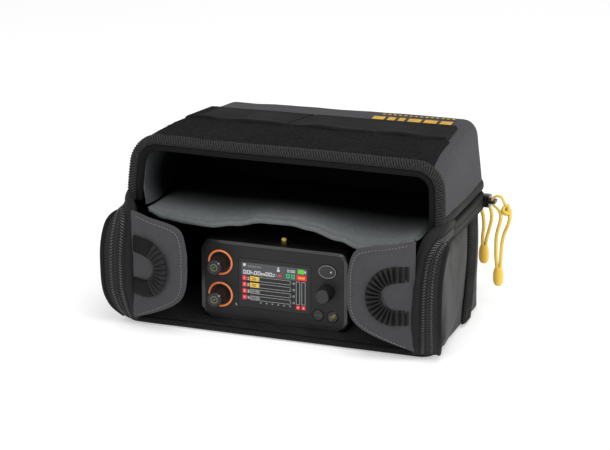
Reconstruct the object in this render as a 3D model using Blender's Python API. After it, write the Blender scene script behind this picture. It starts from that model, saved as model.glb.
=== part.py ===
"""Soft field-audio bag with a small multi-track recorder in its lower compartment.

Metres, +Z up, +X to the wearer's right, -Y is the open front. The origin is the centre of the bag's
underside. Soft panels are plain closed solids; the recorder is built as its separate pieces.
"""

import math

import bmesh
import bpy
from mathutils import Matrix, Vector

GAP = 0.0003

# Bag
BAG_WIDTH = 0.279
BAG_DEPTH = 0.145
HEIGHT = 0.1625
BASE_THICKNESS = 0.0060
LINING_TOP = 0.0075
WALL = 0.005
WALL_FRONT_Y = -0.054
WALL_TOP = 0.1055
CORNER_RADIUS = 0.014
HINGE_Y = 0.0765
HINGE_Z = 0.1065
HOOD_BOTTOM = 0.1078
HOOD_REAR_Y = 0.0775
HOOD_FRONT_Y = -0.052
HOOD_TOP_THICKNESS = 0.005
BINDING_WIDTH = 0.0145
BINDING_THICKNESS = 0.0035
FLAP_HALF_WIDTH = 0.122
FLAP_FRONT_Y = -0.060
FLAP_REAR_Y = 0.062
FLAP_BOTTOM = 0.0925
FLAP_TOP = 0.1005

# Zip tape and wings
TAPE_THICKNESS = 0.002
TAPE_X = 0.1422
TAPE_REAR_Y = 0.0748
TAPE_TOP = 0.1062
TAPE_BOTTOM = 0.0940
WING_HINGE = Vector((0.1275, -0.0815, 0.0))
WING_TIP = Vector((0.0730, -0.0955, 0.0))
WING_THICKNESS = 0.0045
CORD_RADIUS = 0.0012
BRIDGE_REACH = 0.0102

# Recorder
UNIT_X = -0.007
UNIT_Z = 0.0430
FACE_Y = -0.0565
PLATE_SIZE = (0.1250, 0.0640)
CASE_SIZE = (0.1320, 0.0704)
CASE_SPLIT_Y = -0.0465
CASE_REAR_Y = -0.0145
PLATE_THICKNESS = 0.0020
CASE_WALL = 0.0018
WINDOW_CENTRE = (-0.0065, 0.0423)
WINDOW_SIZE = (0.066, 0.0445)
GAIN_X = -0.056
GAIN_Z = (0.058, 0.029)
GAIN_RADIUS = 0.0070
GAIN_HEIGHT = 0.0150
RING_OUTER = 0.0115
RING_INNER = 0.0084
SHAFT_RADIUS = 0.0030
ENCODER = (0.0409, 0.0426)
ENCODER_RADIUS = 0.0068
ENCODER_HEIGHT = 0.0135
RECORD = (0.0412, 0.0608)
RECORD_SIZE = (0.0165, 0.0125)
ROUND_BUTTONS = {"menu": (0.0332, 0.0211), "play": (0.0460, 0.0209)}
BUTTON_RADIUS = 0.0050
SCREW_OFFSET = (0.0615, 0.0310)
LOCK = (-0.0035, -0.0400)

MATERIALS = {
    "shell_fabric": ((0.098, 0.095, 0.098), 0.85, 0.0),
    "black_nylon": ((0.012, 0.012, 0.011), 0.80, 0.0),
    "lining": ((0.16, 0.17, 0.17), 0.95, 0.0),
    "webbing": ((0.010, 0.010, 0.010), 0.75, 0.0),
    "loop_pile": ((0.008, 0.008, 0.008), 0.95, 0.0),
    "zip_metal": ((0.02, 0.02, 0.02), 0.35, 0.8),
    "yellow_cord": ((0.82, 0.52, 0.06), 0.60, 0.0),
    "yellow_tip": ((0.84, 0.50, 0.05), 0.40, 0.0),
    "case": ((0.018, 0.018, 0.018), 0.35, 0.0),
    "face": ((0.028, 0.028, 0.028), 0.55, 0.0),
    "window": ((0.01, 0.01, 0.012), 0.08, 0.0),
    "display": ((0.03, 0.04, 0.05), 0.30, 0.0),
    "glow": ((0.90, 0.28, 0.08), 0.40, 0.0),
    "knob": ((0.012, 0.012, 0.012), 0.45, 0.0),
    "steel": ((0.55, 0.55, 0.56), 0.30, 1.0),
    "board": ((0.02, 0.12, 0.06), 0.50, 0.0),
    "cell": ((0.15, 0.16, 0.20), 0.50, 0.0),
}


def clear_scene():
    for obj in list(bpy.data.objects):
        bpy.data.objects.remove(obj)


def material(name):
    made = bpy.data.materials.get(name)
    if made:
        return made
    colour, roughness, metallic = MATERIALS[name]
    made = bpy.data.materials.new(name)
    made.use_nodes = True
    shader = made.node_tree.nodes["Principled BSDF"]
    shader.inputs["Base Color"].default_value = (*colour, 1.0)
    shader.inputs["Roughness"].default_value = roughness
    shader.inputs["Metallic"].default_value = metallic
    return made


def add(name, bm, slot, pivot=(0.0, 0.0, 0.0)):
    """Turns a bmesh in world places into an object whose origin is the pivot."""
    bmesh.ops.recalc_face_normals(bm, faces=bm.faces)
    bmesh.ops.translate(bm, verts=bm.verts, vec=-Vector(pivot))
    mesh = bpy.data.meshes.new(name)
    bm.to_mesh(mesh)
    bm.free()
    mesh.shade_smooth()
    mesh.set_sharp_from_angle(angle=math.radians(35))
    obj = bpy.data.objects.new(name, mesh)
    obj.location = pivot
    bpy.context.scene.collection.objects.link(obj)
    mesh.materials.append(material(slot))
    return obj


def arc(centre, radius, start, end, steps):
    turns = [start + (end - start) * i / steps for i in range(steps + 1)]
    return [(centre[0] + radius * math.cos(math.radians(a)), centre[1] + radius * math.sin(math.radians(a)))
            for a in turns]


def rounded_rectangle(centre, size, radius, steps=4):
    half_u, half_v = size[0] / 2 - radius, size[1] / 2 - radius
    outline = []
    for start, side_u, side_v in ((0, 1, 1), (90, -1, 1), (180, -1, -1), (270, 1, -1)):
        corner = (centre[0] + side_u * half_u, centre[1] + side_v * half_v)
        outline += arc(corner, radius, start, start + 90, steps)
    return outline


def ellipse(centre, size, steps=28):
    angles = [2 * math.pi * i / steps for i in range(steps)]
    return [(centre[0] + size[0] / 2 * math.cos(a), centre[1] + size[1] / 2 * math.sin(a)) for a in angles]


def smooth(points, steps):
    """Catmull-Rom curve through the points, of any dimension."""
    points = [Vector(p) for p in points]
    last = len(points) - 1
    out = []
    for i in range(last):
        a, b, c, d = (points[min(max(i + k, 0), last)] for k in (-1, 0, 1, 2))
        for s in range(steps):
            t = s / steps
            out.append(0.5 * (2 * b + (c - a) * t + (2 * a - 5 * b + 4 * c - d) * t**2
                              + (3 * b - a - 3 * c + d) * t**3))
    out.append(points[-1])
    return out


def prism(outline, axis, low, high):
    """Extrudes an outline along X, Y or Z. The outline's two numbers are the other two axes in order."""
    bm = bmesh.new()

    def place(point, along):
        values = list(point)
        values.insert("XYZ".index(axis), along)
        return bm.verts.new(values)

    rings = [[place(p, along) for p in outline] for along in (low, high)]
    bm.faces.new(rings[0])
    bm.faces.new(reversed(rings[1]))
    for i in range(len(outline)):
        j = (i + 1) % len(outline)
        bm.faces.new((rings[0][i], rings[0][j], rings[1][j], rings[1][i]))
    return bm


def block(low, high):
    outline = [(low[0], low[1]), (high[0], low[1]), (high[0], high[1]), (low[0], high[1])]
    return prism(outline, "Z", low[2], high[2])


def turned(profile, centre, segments=28):
    """Turns (radius, y) points about a line along Y through centre, which is (x, z)."""
    bm = bmesh.new()
    rings = []
    for radius, y in profile:
        if radius == 0:
            rings.append([bm.verts.new((centre[0], y, centre[1]))])
            continue
        angles = [2 * math.pi * i / segments for i in range(segments)]
        rings.append([bm.verts.new((centre[0] + radius * math.cos(a), y, centre[1] + radius * math.sin(a)))
                      for a in angles])
    pairs = list(zip(rings, rings[1:]))
    if len(rings[0]) > 1:
        pairs.append((rings[-1], rings[0]))
    for ring, following in pairs:
        for i in range(segments):
            j = (i + 1) % segments
            corners = [ring[i % len(ring)], ring[j % len(ring)],
                       following[j % len(following)], following[i % len(following)]]
            unique = list(dict.fromkeys(corners))
            if len(unique) > 2:
                bm.faces.new(unique)
    return bm


def ribbon(stations, thickness):
    """A strip through (inner edge, outer edge) stations, thick either side of their middle surface."""
    bm = bmesh.new()
    rings = []
    for i, (inner, outer) in enumerate(stations):
        before = stations[max(i - 1, 0)]
        after = stations[min(i + 1, len(stations) - 1)]
        along = (after[0] + after[1]) - (before[0] + before[1])
        normal = along.cross(outer - inner).normalized() * thickness / 2
        corners = (inner - normal, outer - normal, outer + normal, inner + normal)
        rings.append([bm.verts.new(c) for c in corners])
    for ring, following in zip(rings, rings[1:]):
        for i in range(4):
            j = (i + 1) % 4
            bm.faces.new((ring[i], ring[j], following[j], following[i]))
    bm.faces.new(rings[0])
    bm.faces.new(reversed(rings[-1]))
    return bm


def bevel_edges(bm, width, segments, keep):
    edges = [e for e in bm.edges if keep(e)]
    bmesh.ops.bevel(bm, geom=edges, offset=width, segments=segments, affect="EDGES", profile=0.5)


def cut(target, name, bm):
    """Takes the shape in bm away from the target, with a hidden cutter."""
    cutter = add("cut_" + name, bm, "steel")
    cutter.hide_render = True
    cutter.display_type = "WIRE"
    modifier = target.modifiers.new("cut_" + name, "BOOLEAN")
    modifier.operation = "DIFFERENCE"
    modifier.solver = "EXACT"
    modifier.object = cutter


def wall_outline(half_width, rear_y, front_y, thickness):
    """A U in plan, open to the front, with rounded rear corners."""
    outer = arc((half_width - CORNER_RADIUS, rear_y - CORNER_RADIUS), CORNER_RADIUS, 0, 90, 6)
    inner = arc((half_width - CORNER_RADIUS, rear_y - CORNER_RADIUS), CORNER_RADIUS - thickness, 90, 0, 6)
    right_out = [(half_width, front_y)] + outer
    right_in = inner + [(half_width - thickness, front_y)]
    left_out = [(-x, y) for x, y in reversed(right_out)]
    left_in = [(-x, y) for x, y in reversed(right_in)]
    return right_out + left_out + left_in + right_in


def build_lower_bag():
    half = BAG_WIDTH / 2
    base = rounded_rectangle((0, 0), (BAG_WIDTH - 0.001, BAG_DEPTH), 0.012)
    add("base_panel", prism(base, "Z", 0.0, BASE_THICKNESS), "black_nylon")
    lining = rounded_rectangle((0, -0.0015), (0.262, 0.131), 0.006)
    add("floor_lining", prism(lining, "Z", BASE_THICKNESS + GAP, LINING_TOP), "lining")
    wall = wall_outline(half, BAG_DEPTH / 2, WALL_FRONT_Y, WALL)
    add("lower_wall", prism(wall, "Z", BASE_THICKNESS + GAP, WALL_TOP), "shell_fabric")
    for side, sign in (("left", -1), ("right", 1)):
        build_zip_tape(side, sign)
        build_side_trim(side, sign, half)


def tape_stations():
    """Right-hand tape, from the front lower corner up, back along the side and round the rear corner."""
    front = [
        ((0.1275, -0.0765, 0.0050), (0.1425, -0.0665, 0.0035)),
        ((0.1295, -0.0795, 0.0180), (0.1470, -0.0800, 0.0170)),
        ((0.1312, -0.0835, 0.0360), (0.1492, -0.0890, 0.0340)),
        ((0.1314, -0.0840, 0.0550), (0.1497, -0.0915, 0.0560)),
        ((0.1315, -0.0815, 0.0720), (0.1498, -0.0895, 0.0760)),
        ((0.1325, -0.0755, 0.0890), (0.1495, -0.0800, 0.0910)),
        ((0.1365, -0.0670, 0.1010), (0.1480, -0.0650, 0.0960)),
        ((0.1412, -0.0540, 0.1055), (0.1450, -0.0500, 0.0945)),
        ((TAPE_X, -0.0300, TAPE_TOP), (TAPE_X, -0.0290, TAPE_BOTTOM)),
        ((TAPE_X, 0.0150, TAPE_TOP), (TAPE_X, 0.0150, TAPE_BOTTOM)),
        ((TAPE_X, 0.0580, TAPE_TOP), (TAPE_X, 0.0580, TAPE_BOTTOM)),
    ]
    inner = smooth([a for a, _ in front], 3)
    outer = smooth([b for _, b in front], 3)
    radius = CORNER_RADIUS + TAPE_X - BAG_WIDTH / 2
    centre = (TAPE_X - radius, TAPE_REAR_Y - radius)
    corner = arc(centre, radius, 0, 90, 6) + [(0.098, TAPE_REAR_Y)]
    inner += [Vector((x, y, TAPE_TOP)) for x, y in corner]
    outer += [Vector((x, y, TAPE_BOTTOM)) for x, y in corner]
    return list(zip(inner, outer))


def mirrored(point, sign):
    return Vector((point[0] * sign, point[1], point[2]))


def build_zip_tape(side, sign):
    stations = [(mirrored(a, sign), mirrored(b, sign)) for a, b in tape_stations()]
    add("zip_tape_" + side, ribbon(stations, TAPE_THICKNESS), "black_nylon")


def build_side_trim(side, sign, half):
    low, high = sorted((sign * (half + GAP), sign * (half + 0.0035)))
    front = arc((0.054, 0.0475), 0.098, 153, 207, 6)
    crescent = [(0.014, 0.0800), (0.012, 0.0925)] + [(-0.012, 0.0928)] + front + [(-0.014, 0.0040), (0.006, 0.0040)]
    add("side_pad_" + side, prism(crescent, "X", low, high), "black_nylon")
    strap = [(0.0230, 0.0925), (0.0180, 0.0500), (0.0090, 0.0040), (0.0340, 0.0040), (0.0430, 0.0500), (0.0480, 0.0925)]
    low, high = sorted((sign * (half + GAP), sign * (half + 0.0018)))
    add("side_strap_" + side, prism(strap, "X", low, high), "webbing")


def build_hood():
    half = BAG_WIDTH / 2
    pivot = (0.0, HINGE_Y, HINGE_Z)
    wall_top = HEIGHT - HOOD_TOP_THICKNESS - GAP
    wall = wall_outline(half, HOOD_REAR_Y, HOOD_FRONT_Y, WALL)
    add("hood_wall", prism(wall, "Z", HOOD_BOTTOM, wall_top), "shell_fabric", pivot)
    depth = HOOD_REAR_Y - HOOD_FRONT_Y
    top = rounded_rectangle((0, HOOD_REAR_Y - depth / 2), (BAG_WIDTH, depth), CORNER_RADIUS, 6)
    top = [(x, y) if y > 0 else (math.copysign(half, x), HOOD_FRONT_Y) for x, y in top]
    top = list(dict.fromkeys(top))
    panel = prism(top, "Z", HEIGHT - HOOD_TOP_THICKNESS, HEIGHT)
    bevel_edges(panel, 0.0035, 2, lambda e: all(v.co.z > HEIGHT - 1e-5 for v in e.verts))
    add("hood_top_panel", panel, "shell_fabric", pivot)
    build_hood_binding(half, pivot)
    for side, sign in (("left", -1), ("right", 1)):
        build_hood_hem(side, sign, half, pivot)
    pile = block((-0.128, -0.0510, HEIGHT + GAP), (0.122, 0.0030, HEIGHT + 0.0018))
    add("top_loop_panel", pile, "loop_pile", pivot)
    strap = block((-0.130, 0.0036, HEIGHT + GAP), (0.124, 0.0380, HEIGHT + 0.0022))
    add("top_webbing", strap, "webbing", pivot)


def build_hood_binding(half, pivot):
    outer_radius = 0.016
    inner_radius = 0.007
    outer_side = half + 0.0010
    inner_side = outer_side - BINDING_WIDTH
    outer_top = HEIGHT + 0.0005
    inner_top = outer_top - BINDING_WIDTH
    outer = [(outer_side, HOOD_BOTTOM)]
    outer += arc((outer_side - outer_radius, outer_top - outer_radius), outer_radius, 0, 90, 6)
    inner = arc((inner_side - inner_radius, inner_top - inner_radius), inner_radius, 90, 0, 5)
    inner += [(inner_side, HOOD_BOTTOM)]
    outline = outer + [(-x, z) for x, z in reversed(outer)]
    outline += [(-x, z) for x, z in reversed(inner)] + inner
    back = HOOD_FRONT_Y - GAP
    add("hood_binding", prism(outline, "Y", back - BINDING_THICKNESS, back), "black_nylon", pivot)


def build_hood_hem(side, sign, half, pivot):
    low_x, high_x = sorted((sign * (half + GAP), sign * (half + 0.0022)))
    low = (low_x, HOOD_FRONT_Y, HOOD_BOTTOM + 0.0002)
    high = (high_x, HOOD_REAR_Y - CORNER_RADIUS, HOOD_BOTTOM + 0.0072)
    add("hood_hem_" + side, block(low, high), "black_nylon", pivot)


def build_flap():
    low = (-FLAP_HALF_WIDTH, FLAP_FRONT_Y, FLAP_BOTTOM)
    high = (FLAP_HALF_WIDTH, FLAP_REAR_Y, FLAP_TOP)
    slab = block(low, high)
    bevel_edges(slab, 0.003, 2, lambda e: all(v.co.y < FLAP_FRONT_Y + 1e-5 for v in e.verts))
    pivot = (0.0, FLAP_REAR_Y + 0.002, (FLAP_BOTTOM + FLAP_TOP) / 2)
    add("divider_flap", slab, "lining", pivot)


def wing_frame(sign):
    """Matrix from (along the wing from its hinge, out of its front face, up) to world."""
    along = (WING_TIP - WING_HINGE).normalized()
    along = Vector((along.x * sign, along.y, 0.0))
    out = Vector((along.y, -along.x, 0.0)) * sign
    if out.y > 0:
        out = -out
    hinge = Vector((WING_HINGE.x * sign, WING_HINGE.y, 0.0))
    frame = Matrix.Identity(4)
    for column, vector in enumerate((along, out, Vector((0.0, 0.0, 1.0)), hinge)):
        for row in range(3):
            frame[row][column] = vector[row]
    return frame


def build_wing(side, sign):
    frame = wing_frame(sign)
    pivot = (WING_HINGE.x * sign, WING_HINGE.y, 0.055)
    edge = [(0.020, 0.1025), (0.040, 0.1000), (0.0515, 0.0950), (0.0565, 0.0800), (0.0575, 0.0600),
            (0.0560, 0.0420), (0.0480, 0.0300), (0.0250, 0.0175)]
    outline = [(0.001, 0.1060)] + [tuple(p) for p in smooth(edge, 2)] + [(0.001, 0.0080)]
    plate = prism(outline, "Y", -WING_THICKNESS / 2, WING_THICKNESS / 2)
    bmesh.ops.transform(plate, matrix=frame, verts=plate.verts)
    add("wing_" + side, plate, "shell_fabric", pivot)
    face = WING_THICKNESS / 2 + GAP
    bend = (0.0220, 0.0585)
    outer = [(0.0080, 0.0795)] + arc(bend, 0.0210, 88, -88, 9) + [(0.0080, 0.0375)]
    inner = [(0.0080, 0.0495)] + arc(bend, 0.0085, -88, 88, 7) + [(0.0080, 0.0675)]
    loop = prism(outer + inner, "Y", face, face + 0.0045)
    bmesh.ops.transform(loop, matrix=frame, verts=loop.verts)
    add("wing_loop_" + side, loop, "webbing", pivot)


def cord(name, route, pivot):
    """A round cord along a smooth curve through the route's points."""
    points = smooth(route, 3)
    data = bpy.data.curves.new(name, "CURVE")
    data.dimensions = "3D"
    data.bevel_depth = CORD_RADIUS
    data.bevel_resolution = 2
    data.use_fill_caps = True
    spline = data.splines.new("POLY")
    spline.points.add(len(points) - 1)
    for target, place in zip(spline.points, points):
        target.co = (*(place - Vector(pivot)), 1.0)
    data.materials.append(material("yellow_cord"))
    obj = bpy.data.objects.new(name, data)
    obj.location = pivot
    bpy.context.scene.collection.objects.link(obj)


def slider(name, centre, facing):
    """A slider on the tape with a bridge bar across it. It is made facing +X and turned to its side."""
    body = prism(rounded_rectangle((0, 0), (0.0100, 0.0112), 0.0025, 3), "X", 0.0, 0.0058)
    arch = [(0.0050, -0.0048), (0.0094, -0.0048), (0.0112, -0.0036), (0.0112, 0.0036), (0.0094, 0.0048),
            (0.0050, 0.0048), (0.0050, 0.0034), (0.0089, 0.0034), (0.0092, 0.0031), (0.0092, -0.0031),
            (0.0089, -0.0034), (0.0050, -0.0034)]
    bridge = prism(arch, "Z", -0.0012, 0.0012)
    turn = Matrix.Translation(centre) @ Matrix.Rotation(facing, 4, "Z")
    for bm in (body, bridge):
        bmesh.ops.transform(bm, matrix=turn, verts=bm.verts)
    main = add(name, body, "zip_metal")
    extra = add("bridge_of_" + name, bridge, "zip_metal")
    extra.hide_render = True
    extra.display_type = "WIRE"
    joined = main.modifiers.new("bridge", "BOOLEAN")
    joined.operation = "UNION"
    joined.solver = "EXACT"
    joined.object = extra


def pull_tip(name, top, pivot):
    """A moulded tip, oval in plan and narrowing downwards, below its top point."""
    bm = bmesh.new()
    rings = []
    levels = ((0.0, 0.0034, 0.0020), (-0.002, 0.0043, 0.0026), (-0.008, 0.0046, 0.0029),
              (-0.013, 0.0042, 0.0026), (-0.016, 0.0026, 0.0016))
    for drop, half_x, half_y in levels:
        outline = ellipse(top[:2], (2 * half_x, 2 * half_y), 14)
        rings.append([bm.verts.new((x, y, top[2] + drop)) for x, y in outline])
    for ring, following in zip(rings, rings[1:]):
        for i in range(len(ring)):
            j = (i + 1) % len(ring)
            bm.faces.new((ring[i], ring[j], following[j], following[i]))
    bm.faces.new(rings[0])
    bm.faces.new(reversed(rings[-1]))
    add(name, bm, "yellow_tip", pivot)


def build_zip_pulls():
    side_centre = Vector((0.1437, 0.0610, 0.1001))
    slider("zip_slider_side", side_centre, 0.0)
    side_pivot = side_centre + Vector((BRIDGE_REACH, 0.0, 0.0))
    side_route = [
        (0.1590, 0.0640, 0.0385), (0.1592, 0.0645, 0.0460), (0.1594, 0.0650, 0.0540), (0.1600, 0.0652, 0.0620),
        (0.1620, 0.0650, 0.0710), (0.1655, 0.0642, 0.0800), (0.1670, 0.0632, 0.0880), (0.1652, 0.0620, 0.0940),
        (0.1622, 0.0612, 0.0991), (0.1597, 0.0610, 0.1040), (0.1555, 0.0610, 0.1051), (0.1519, 0.0610, 0.1026),
        (0.1512, 0.0610, 0.0995), (0.1527, 0.0609, 0.0963), (0.1560, 0.0605, 0.0940), (0.1592, 0.0596, 0.0900),
        (0.1598, 0.0588, 0.0845), (0.1580, 0.0588, 0.0770), (0.1562, 0.0600, 0.0690), (0.1556, 0.0612, 0.0600),
        (0.1554, 0.0625, 0.0500), (0.1558, 0.0636, 0.0430), (0.1560, 0.0640, 0.0385),
    ]
    cord("pull_cord_side", side_route, side_pivot)
    pull_tip("pull_tip_side", (0.1575, 0.0640, 0.0385 - GAP), side_pivot)

    rear_centre = Vector((0.1230, 0.0763, 0.1001))
    slider("zip_slider_rear", rear_centre, math.radians(90))
    rear_pivot = rear_centre + Vector((0.0, BRIDGE_REACH, 0.0))
    rear_route = [
        (0.1395, 0.0860, 0.0500), (0.1402, 0.0862, 0.0570), (0.1420, 0.0868, 0.0650), (0.1436, 0.0878, 0.0730),
        (0.1432, 0.0892, 0.0805), (0.1400, 0.0912, 0.0868), (0.1350, 0.0932, 0.0915), (0.1290, 0.0943, 0.0950),
        (0.1250, 0.0941, 0.0991), (0.1235, 0.0923, 0.1040), (0.1230, 0.0881, 0.1051), (0.1230, 0.0845, 0.1026),
        (0.1230, 0.0838, 0.0995), (0.1232, 0.0853, 0.0963), (0.1245, 0.0880, 0.0940), (0.1275, 0.0895, 0.0905),
        (0.1315, 0.0890, 0.0865), (0.1350, 0.0872, 0.0815), (0.1372, 0.0852, 0.0755), (0.1378, 0.0845, 0.0680),
        (0.1370, 0.0848, 0.0600), (0.1366, 0.0856, 0.0545), (0.1365, 0.0860, 0.0500),
    ]
    cord("pull_cord_rear", rear_route, rear_pivot)
    pull_tip("pull_tip_rear", (0.1380, 0.0860, 0.0500 - GAP), rear_pivot)


def case_half(name, front_y, rear_y, round_front):
    """One half of the recorder's case: a rounded block whose outer end is softly rounded."""
    outline = rounded_rectangle((UNIT_X, UNIT_Z), CASE_SIZE, 0.0085, 5)
    bm = prism(outline, "Y", front_y, rear_y)
    end = front_y if round_front else rear_y
    bevel_edges(bm, 0.0024, 3, lambda e: all(abs(v.co.y - end) < 1e-5 for v in e.verts))
    return add(name, bm, "case")


def build_case():
    front = case_half("case_front", FACE_Y, CASE_SPLIT_Y, True)
    recess = (PLATE_SIZE[0] + 2 * GAP, PLATE_SIZE[1] + 2 * GAP)
    ledge = FACE_Y + PLATE_THICKNESS + GAP
    cut(front, "recess", prism(rounded_rectangle((UNIT_X, UNIT_Z), recess, 0.0063, 5), "Y", -0.060, ledge))
    opening = rounded_rectangle((UNIT_X, UNIT_Z), (0.119, 0.058), 0.004, 3)
    cut(front, "through", prism(opening, "Y", -0.060, -0.040))
    rear = case_half("case_rear", CASE_SPLIT_Y + GAP, CASE_REAR_Y, False)
    room = (CASE_SIZE[0] - 2 * CASE_WALL, CASE_SIZE[1] - 2 * CASE_WALL)
    cavity = rounded_rectangle((UNIT_X, UNIT_Z), room, 0.004, 3)
    cut(rear, "cavity", prism(cavity, "Y", -0.050, CASE_REAR_Y - CASE_WALL))
    slot = block((LOCK[0] - 0.0022, LOCK[1] - 0.0014, 0.070), (LOCK[0] + 0.0062, LOCK[1] + 0.0014, 0.090))
    cut(rear, "lock_slot", slot)
    head_face = CASE_REAR_Y - 0.0011
    for number, (sign_x, sign_z) in enumerate(((-1, -1), (1, -1), (-1, 1), (1, 1)), 1):
        centre = (UNIT_X + sign_x * SCREW_OFFSET[0], UNIT_Z + sign_z * SCREW_OFFSET[1])
        hole = [(0, -0.0502), (0.0013, -0.0502), (0.0013, head_face), (0.0026, head_face), (0.0026, 0.0), (0, 0.0)]
        cut(front, f"front_screw_{number}", turned(hole, centre, 12))
        cut(rear, f"rear_screw_{number}", turned(hole, centre, 12))
        screw = [(0, -0.0490), (0.0009, -0.0490), (0.0009, head_face + GAP), (0.0023, head_face + GAP),
                 (0.0023, CASE_REAR_Y - 0.0001), (0, CASE_REAR_Y - 0.0001)]
        add(f"case_screw_{number}", turned(screw, centre, 12), "steel")


def build_face():
    outline = rounded_rectangle((UNIT_X, UNIT_Z), PLATE_SIZE, 0.006, 5)
    back = FACE_Y + PLATE_THICKNESS
    plate = add("face_plate", prism(outline, "Y", FACE_Y, back), "face")
    window = rounded_rectangle(WINDOW_CENTRE, WINDOW_SIZE, 0.002, 3)
    cut(plate, "window", prism(window, "Y", -0.060, -0.050))
    clear = (WINDOW_SIZE[0] - 2 * GAP, WINDOW_SIZE[1] - 2 * GAP)
    glass = rounded_rectangle(WINDOW_CENTRE, clear, 0.0017, 3)
    add("display_window", prism(glass, "Y", FACE_Y + 0.0001, FACE_Y + 0.0013), "window")
    for number, z in enumerate(GAIN_Z, 1):
        build_gain(plate, number, (GAIN_X, z))
    build_encoder(plate)
    cap_front = FACE_Y - 0.0006
    record = ellipse(RECORD, RECORD_SIZE)
    record_hole = ellipse(RECORD, [s + 2 * GAP for s in RECORD_SIZE])
    cut(plate, "record", prism(record_hole, "Y", -0.060, -0.050))
    add("record_button", prism(record, "Y", cap_front, -0.0516), "case", (RECORD[0], FACE_Y, RECORD[1]))
    build_switch("record", RECORD)
    for name, centre in ROUND_BUTTONS.items():
        hole = [(0, -0.060), (BUTTON_RADIUS + GAP, -0.060), (BUTTON_RADIUS + GAP, -0.050), (0, -0.050)]
        cut(plate, name, turned(hole, centre))
        cap = [(0, cap_front), (BUTTON_RADIUS - 0.0006, cap_front), (BUTTON_RADIUS, FACE_Y),
               (BUTTON_RADIUS, -0.0516), (0, -0.0516)]
        add(name + "_button", turned(cap, centre), "case", (centre[0], FACE_Y, centre[1]))
        build_switch(name, centre)


def build_switch(name, centre):
    low = (centre[0] - 0.003, -0.0508, centre[1] - 0.003)
    high = (centre[0] + 0.003, -0.0458, centre[1] + 0.003)
    add(name + "_switch", block(low, high), "steel")


def knob_profile(radius, height):
    front = FACE_Y - height
    rim = front + 0.0012
    return [(0, front + 0.0005), (radius * 0.72, front + 0.0005), (radius * 0.80, front), (radius * 0.90, front),
            (radius * 0.96, rim), (radius, FACE_Y - 0.0008), (SHAFT_RADIUS + GAP, FACE_Y - 0.0008),
            (SHAFT_RADIUS + GAP, front + 0.0040), (0, front + 0.0040)]


def shaft_profile(height, rear_y):
    front = FACE_Y - height + 0.0040 + GAP
    return [(0, front), (SHAFT_RADIUS, front), (SHAFT_RADIUS, rear_y), (0, rear_y)]


def build_gain(plate, number, centre):
    groove = [(RING_INNER - GAP, -0.060), (RING_OUTER + GAP, -0.060), (RING_OUTER + GAP, FACE_Y + 0.0012),
              (RING_INNER - GAP, FACE_Y + 0.0012)]
    cut(plate, f"groove_{number}", turned(groove, centre, 32))
    hole = [(0, -0.060), (SHAFT_RADIUS + 0.0004, -0.060), (SHAFT_RADIUS + 0.0004, -0.050), (0, -0.050)]
    cut(plate, f"gain_hole_{number}", turned(hole, centre, 20))
    ring = [(RING_INNER, FACE_Y + 0.0001), (RING_OUTER, FACE_Y + 0.0001), (RING_OUTER, FACE_Y + 0.0009),
            (RING_INNER, FACE_Y + 0.0009)]
    add(f"light_ring_{number}", turned(ring, centre, 32), "glow")
    pivot = (centre[0], FACE_Y, centre[1])
    add(f"gain_knob_{number}", turned(knob_profile(GAIN_RADIUS, GAIN_HEIGHT), centre), "knob", pivot)
    add(f"gain_shaft_{number}", turned(shaft_profile(GAIN_HEIGHT, -0.0540), centre, 16), "steel", pivot)
    low = (centre[0] - 0.0046, -0.0537, centre[1] - 0.0050)
    high = (centre[0] + 0.0050, -0.0458, centre[1] + 0.0050)
    add(f"gain_sensor_{number}", block(low, high), "steel")


def build_encoder(plate):
    hole = [(0, -0.060), (SHAFT_RADIUS + 0.0004, -0.060), (SHAFT_RADIUS + 0.0004, -0.050), (0, -0.050)]
    cut(plate, "encoder_hole", turned(hole, ENCODER, 20))
    pivot = (ENCODER[0], FACE_Y, ENCODER[1])
    add("encoder_knob", turned(knob_profile(ENCODER_RADIUS, ENCODER_HEIGHT), ENCODER), "knob", pivot)
    add("encoder_shaft", turned(shaft_profile(ENCODER_HEIGHT, -0.0540), ENCODER, 16), "steel", pivot)
    low = (ENCODER[0] - 0.0055, -0.0532, ENCODER[1] - 0.0055)
    high = (ENCODER[0] + 0.0055, -0.0458, ENCODER[1] + 0.0055)
    add("encoder_body", block(low, high), "steel")


def build_inside():
    low = (WINDOW_CENTRE[0] - 0.0325, FACE_Y + PLATE_THICKNESS + GAP, WINDOW_CENTRE[1] - 0.0218)
    high = (WINDOW_CENTRE[0] + 0.0325, -0.0500, WINDOW_CENTRE[1] + 0.0218)
    add("display_module", block(low, high), "display")
    board_low = (UNIT_X - 0.0575, -0.0455, UNIT_Z - 0.0275)
    board_high = (UNIT_X + 0.0575, -0.0439, UNIT_Z + 0.0275)
    add("main_board", block(board_low, board_high), "board")
    add("battery", block((-0.045, -0.0395, 0.018), (0.031, -0.0185, 0.062)), "cell")
    top = UNIT_Z + CASE_SIZE[1] / 2
    foot = top - CASE_WALL - GAP
    x = LOCK[0]
    outline = [(x - 0.0035, foot - 0.001), (x + 0.0035, foot - 0.001), (x + 0.0035, foot), (x + 0.001, foot),
               (x + 0.001, top + GAP), (x + 0.002, top + GAP), (x + 0.002, top + 0.0020),
               (x - 0.002, top + 0.0020), (x - 0.002, top + GAP), (x - 0.001, top + GAP),
               (x - 0.001, foot), (x - 0.0035, foot)]
    add("lock_slider", prism(outline, "Y", LOCK[1] - 0.0011, LOCK[1] + 0.0011), "yellow_tip")


def main():
    clear_scene()
    build_lower_bag()
    build_hood()
    build_flap()
    build_wing("left", -1)
    build_wing("right", 1)
    build_zip_pulls()
    build_case()
    build_face()
    build_inside()


main()
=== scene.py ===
"""Looks for the field-audio bag and its recorder: fabric, zip, webbing, cords, controls, light and camera."""

import math

import bmesh
import bpy
from mathutils import Matrix, Vector, noise


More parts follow.
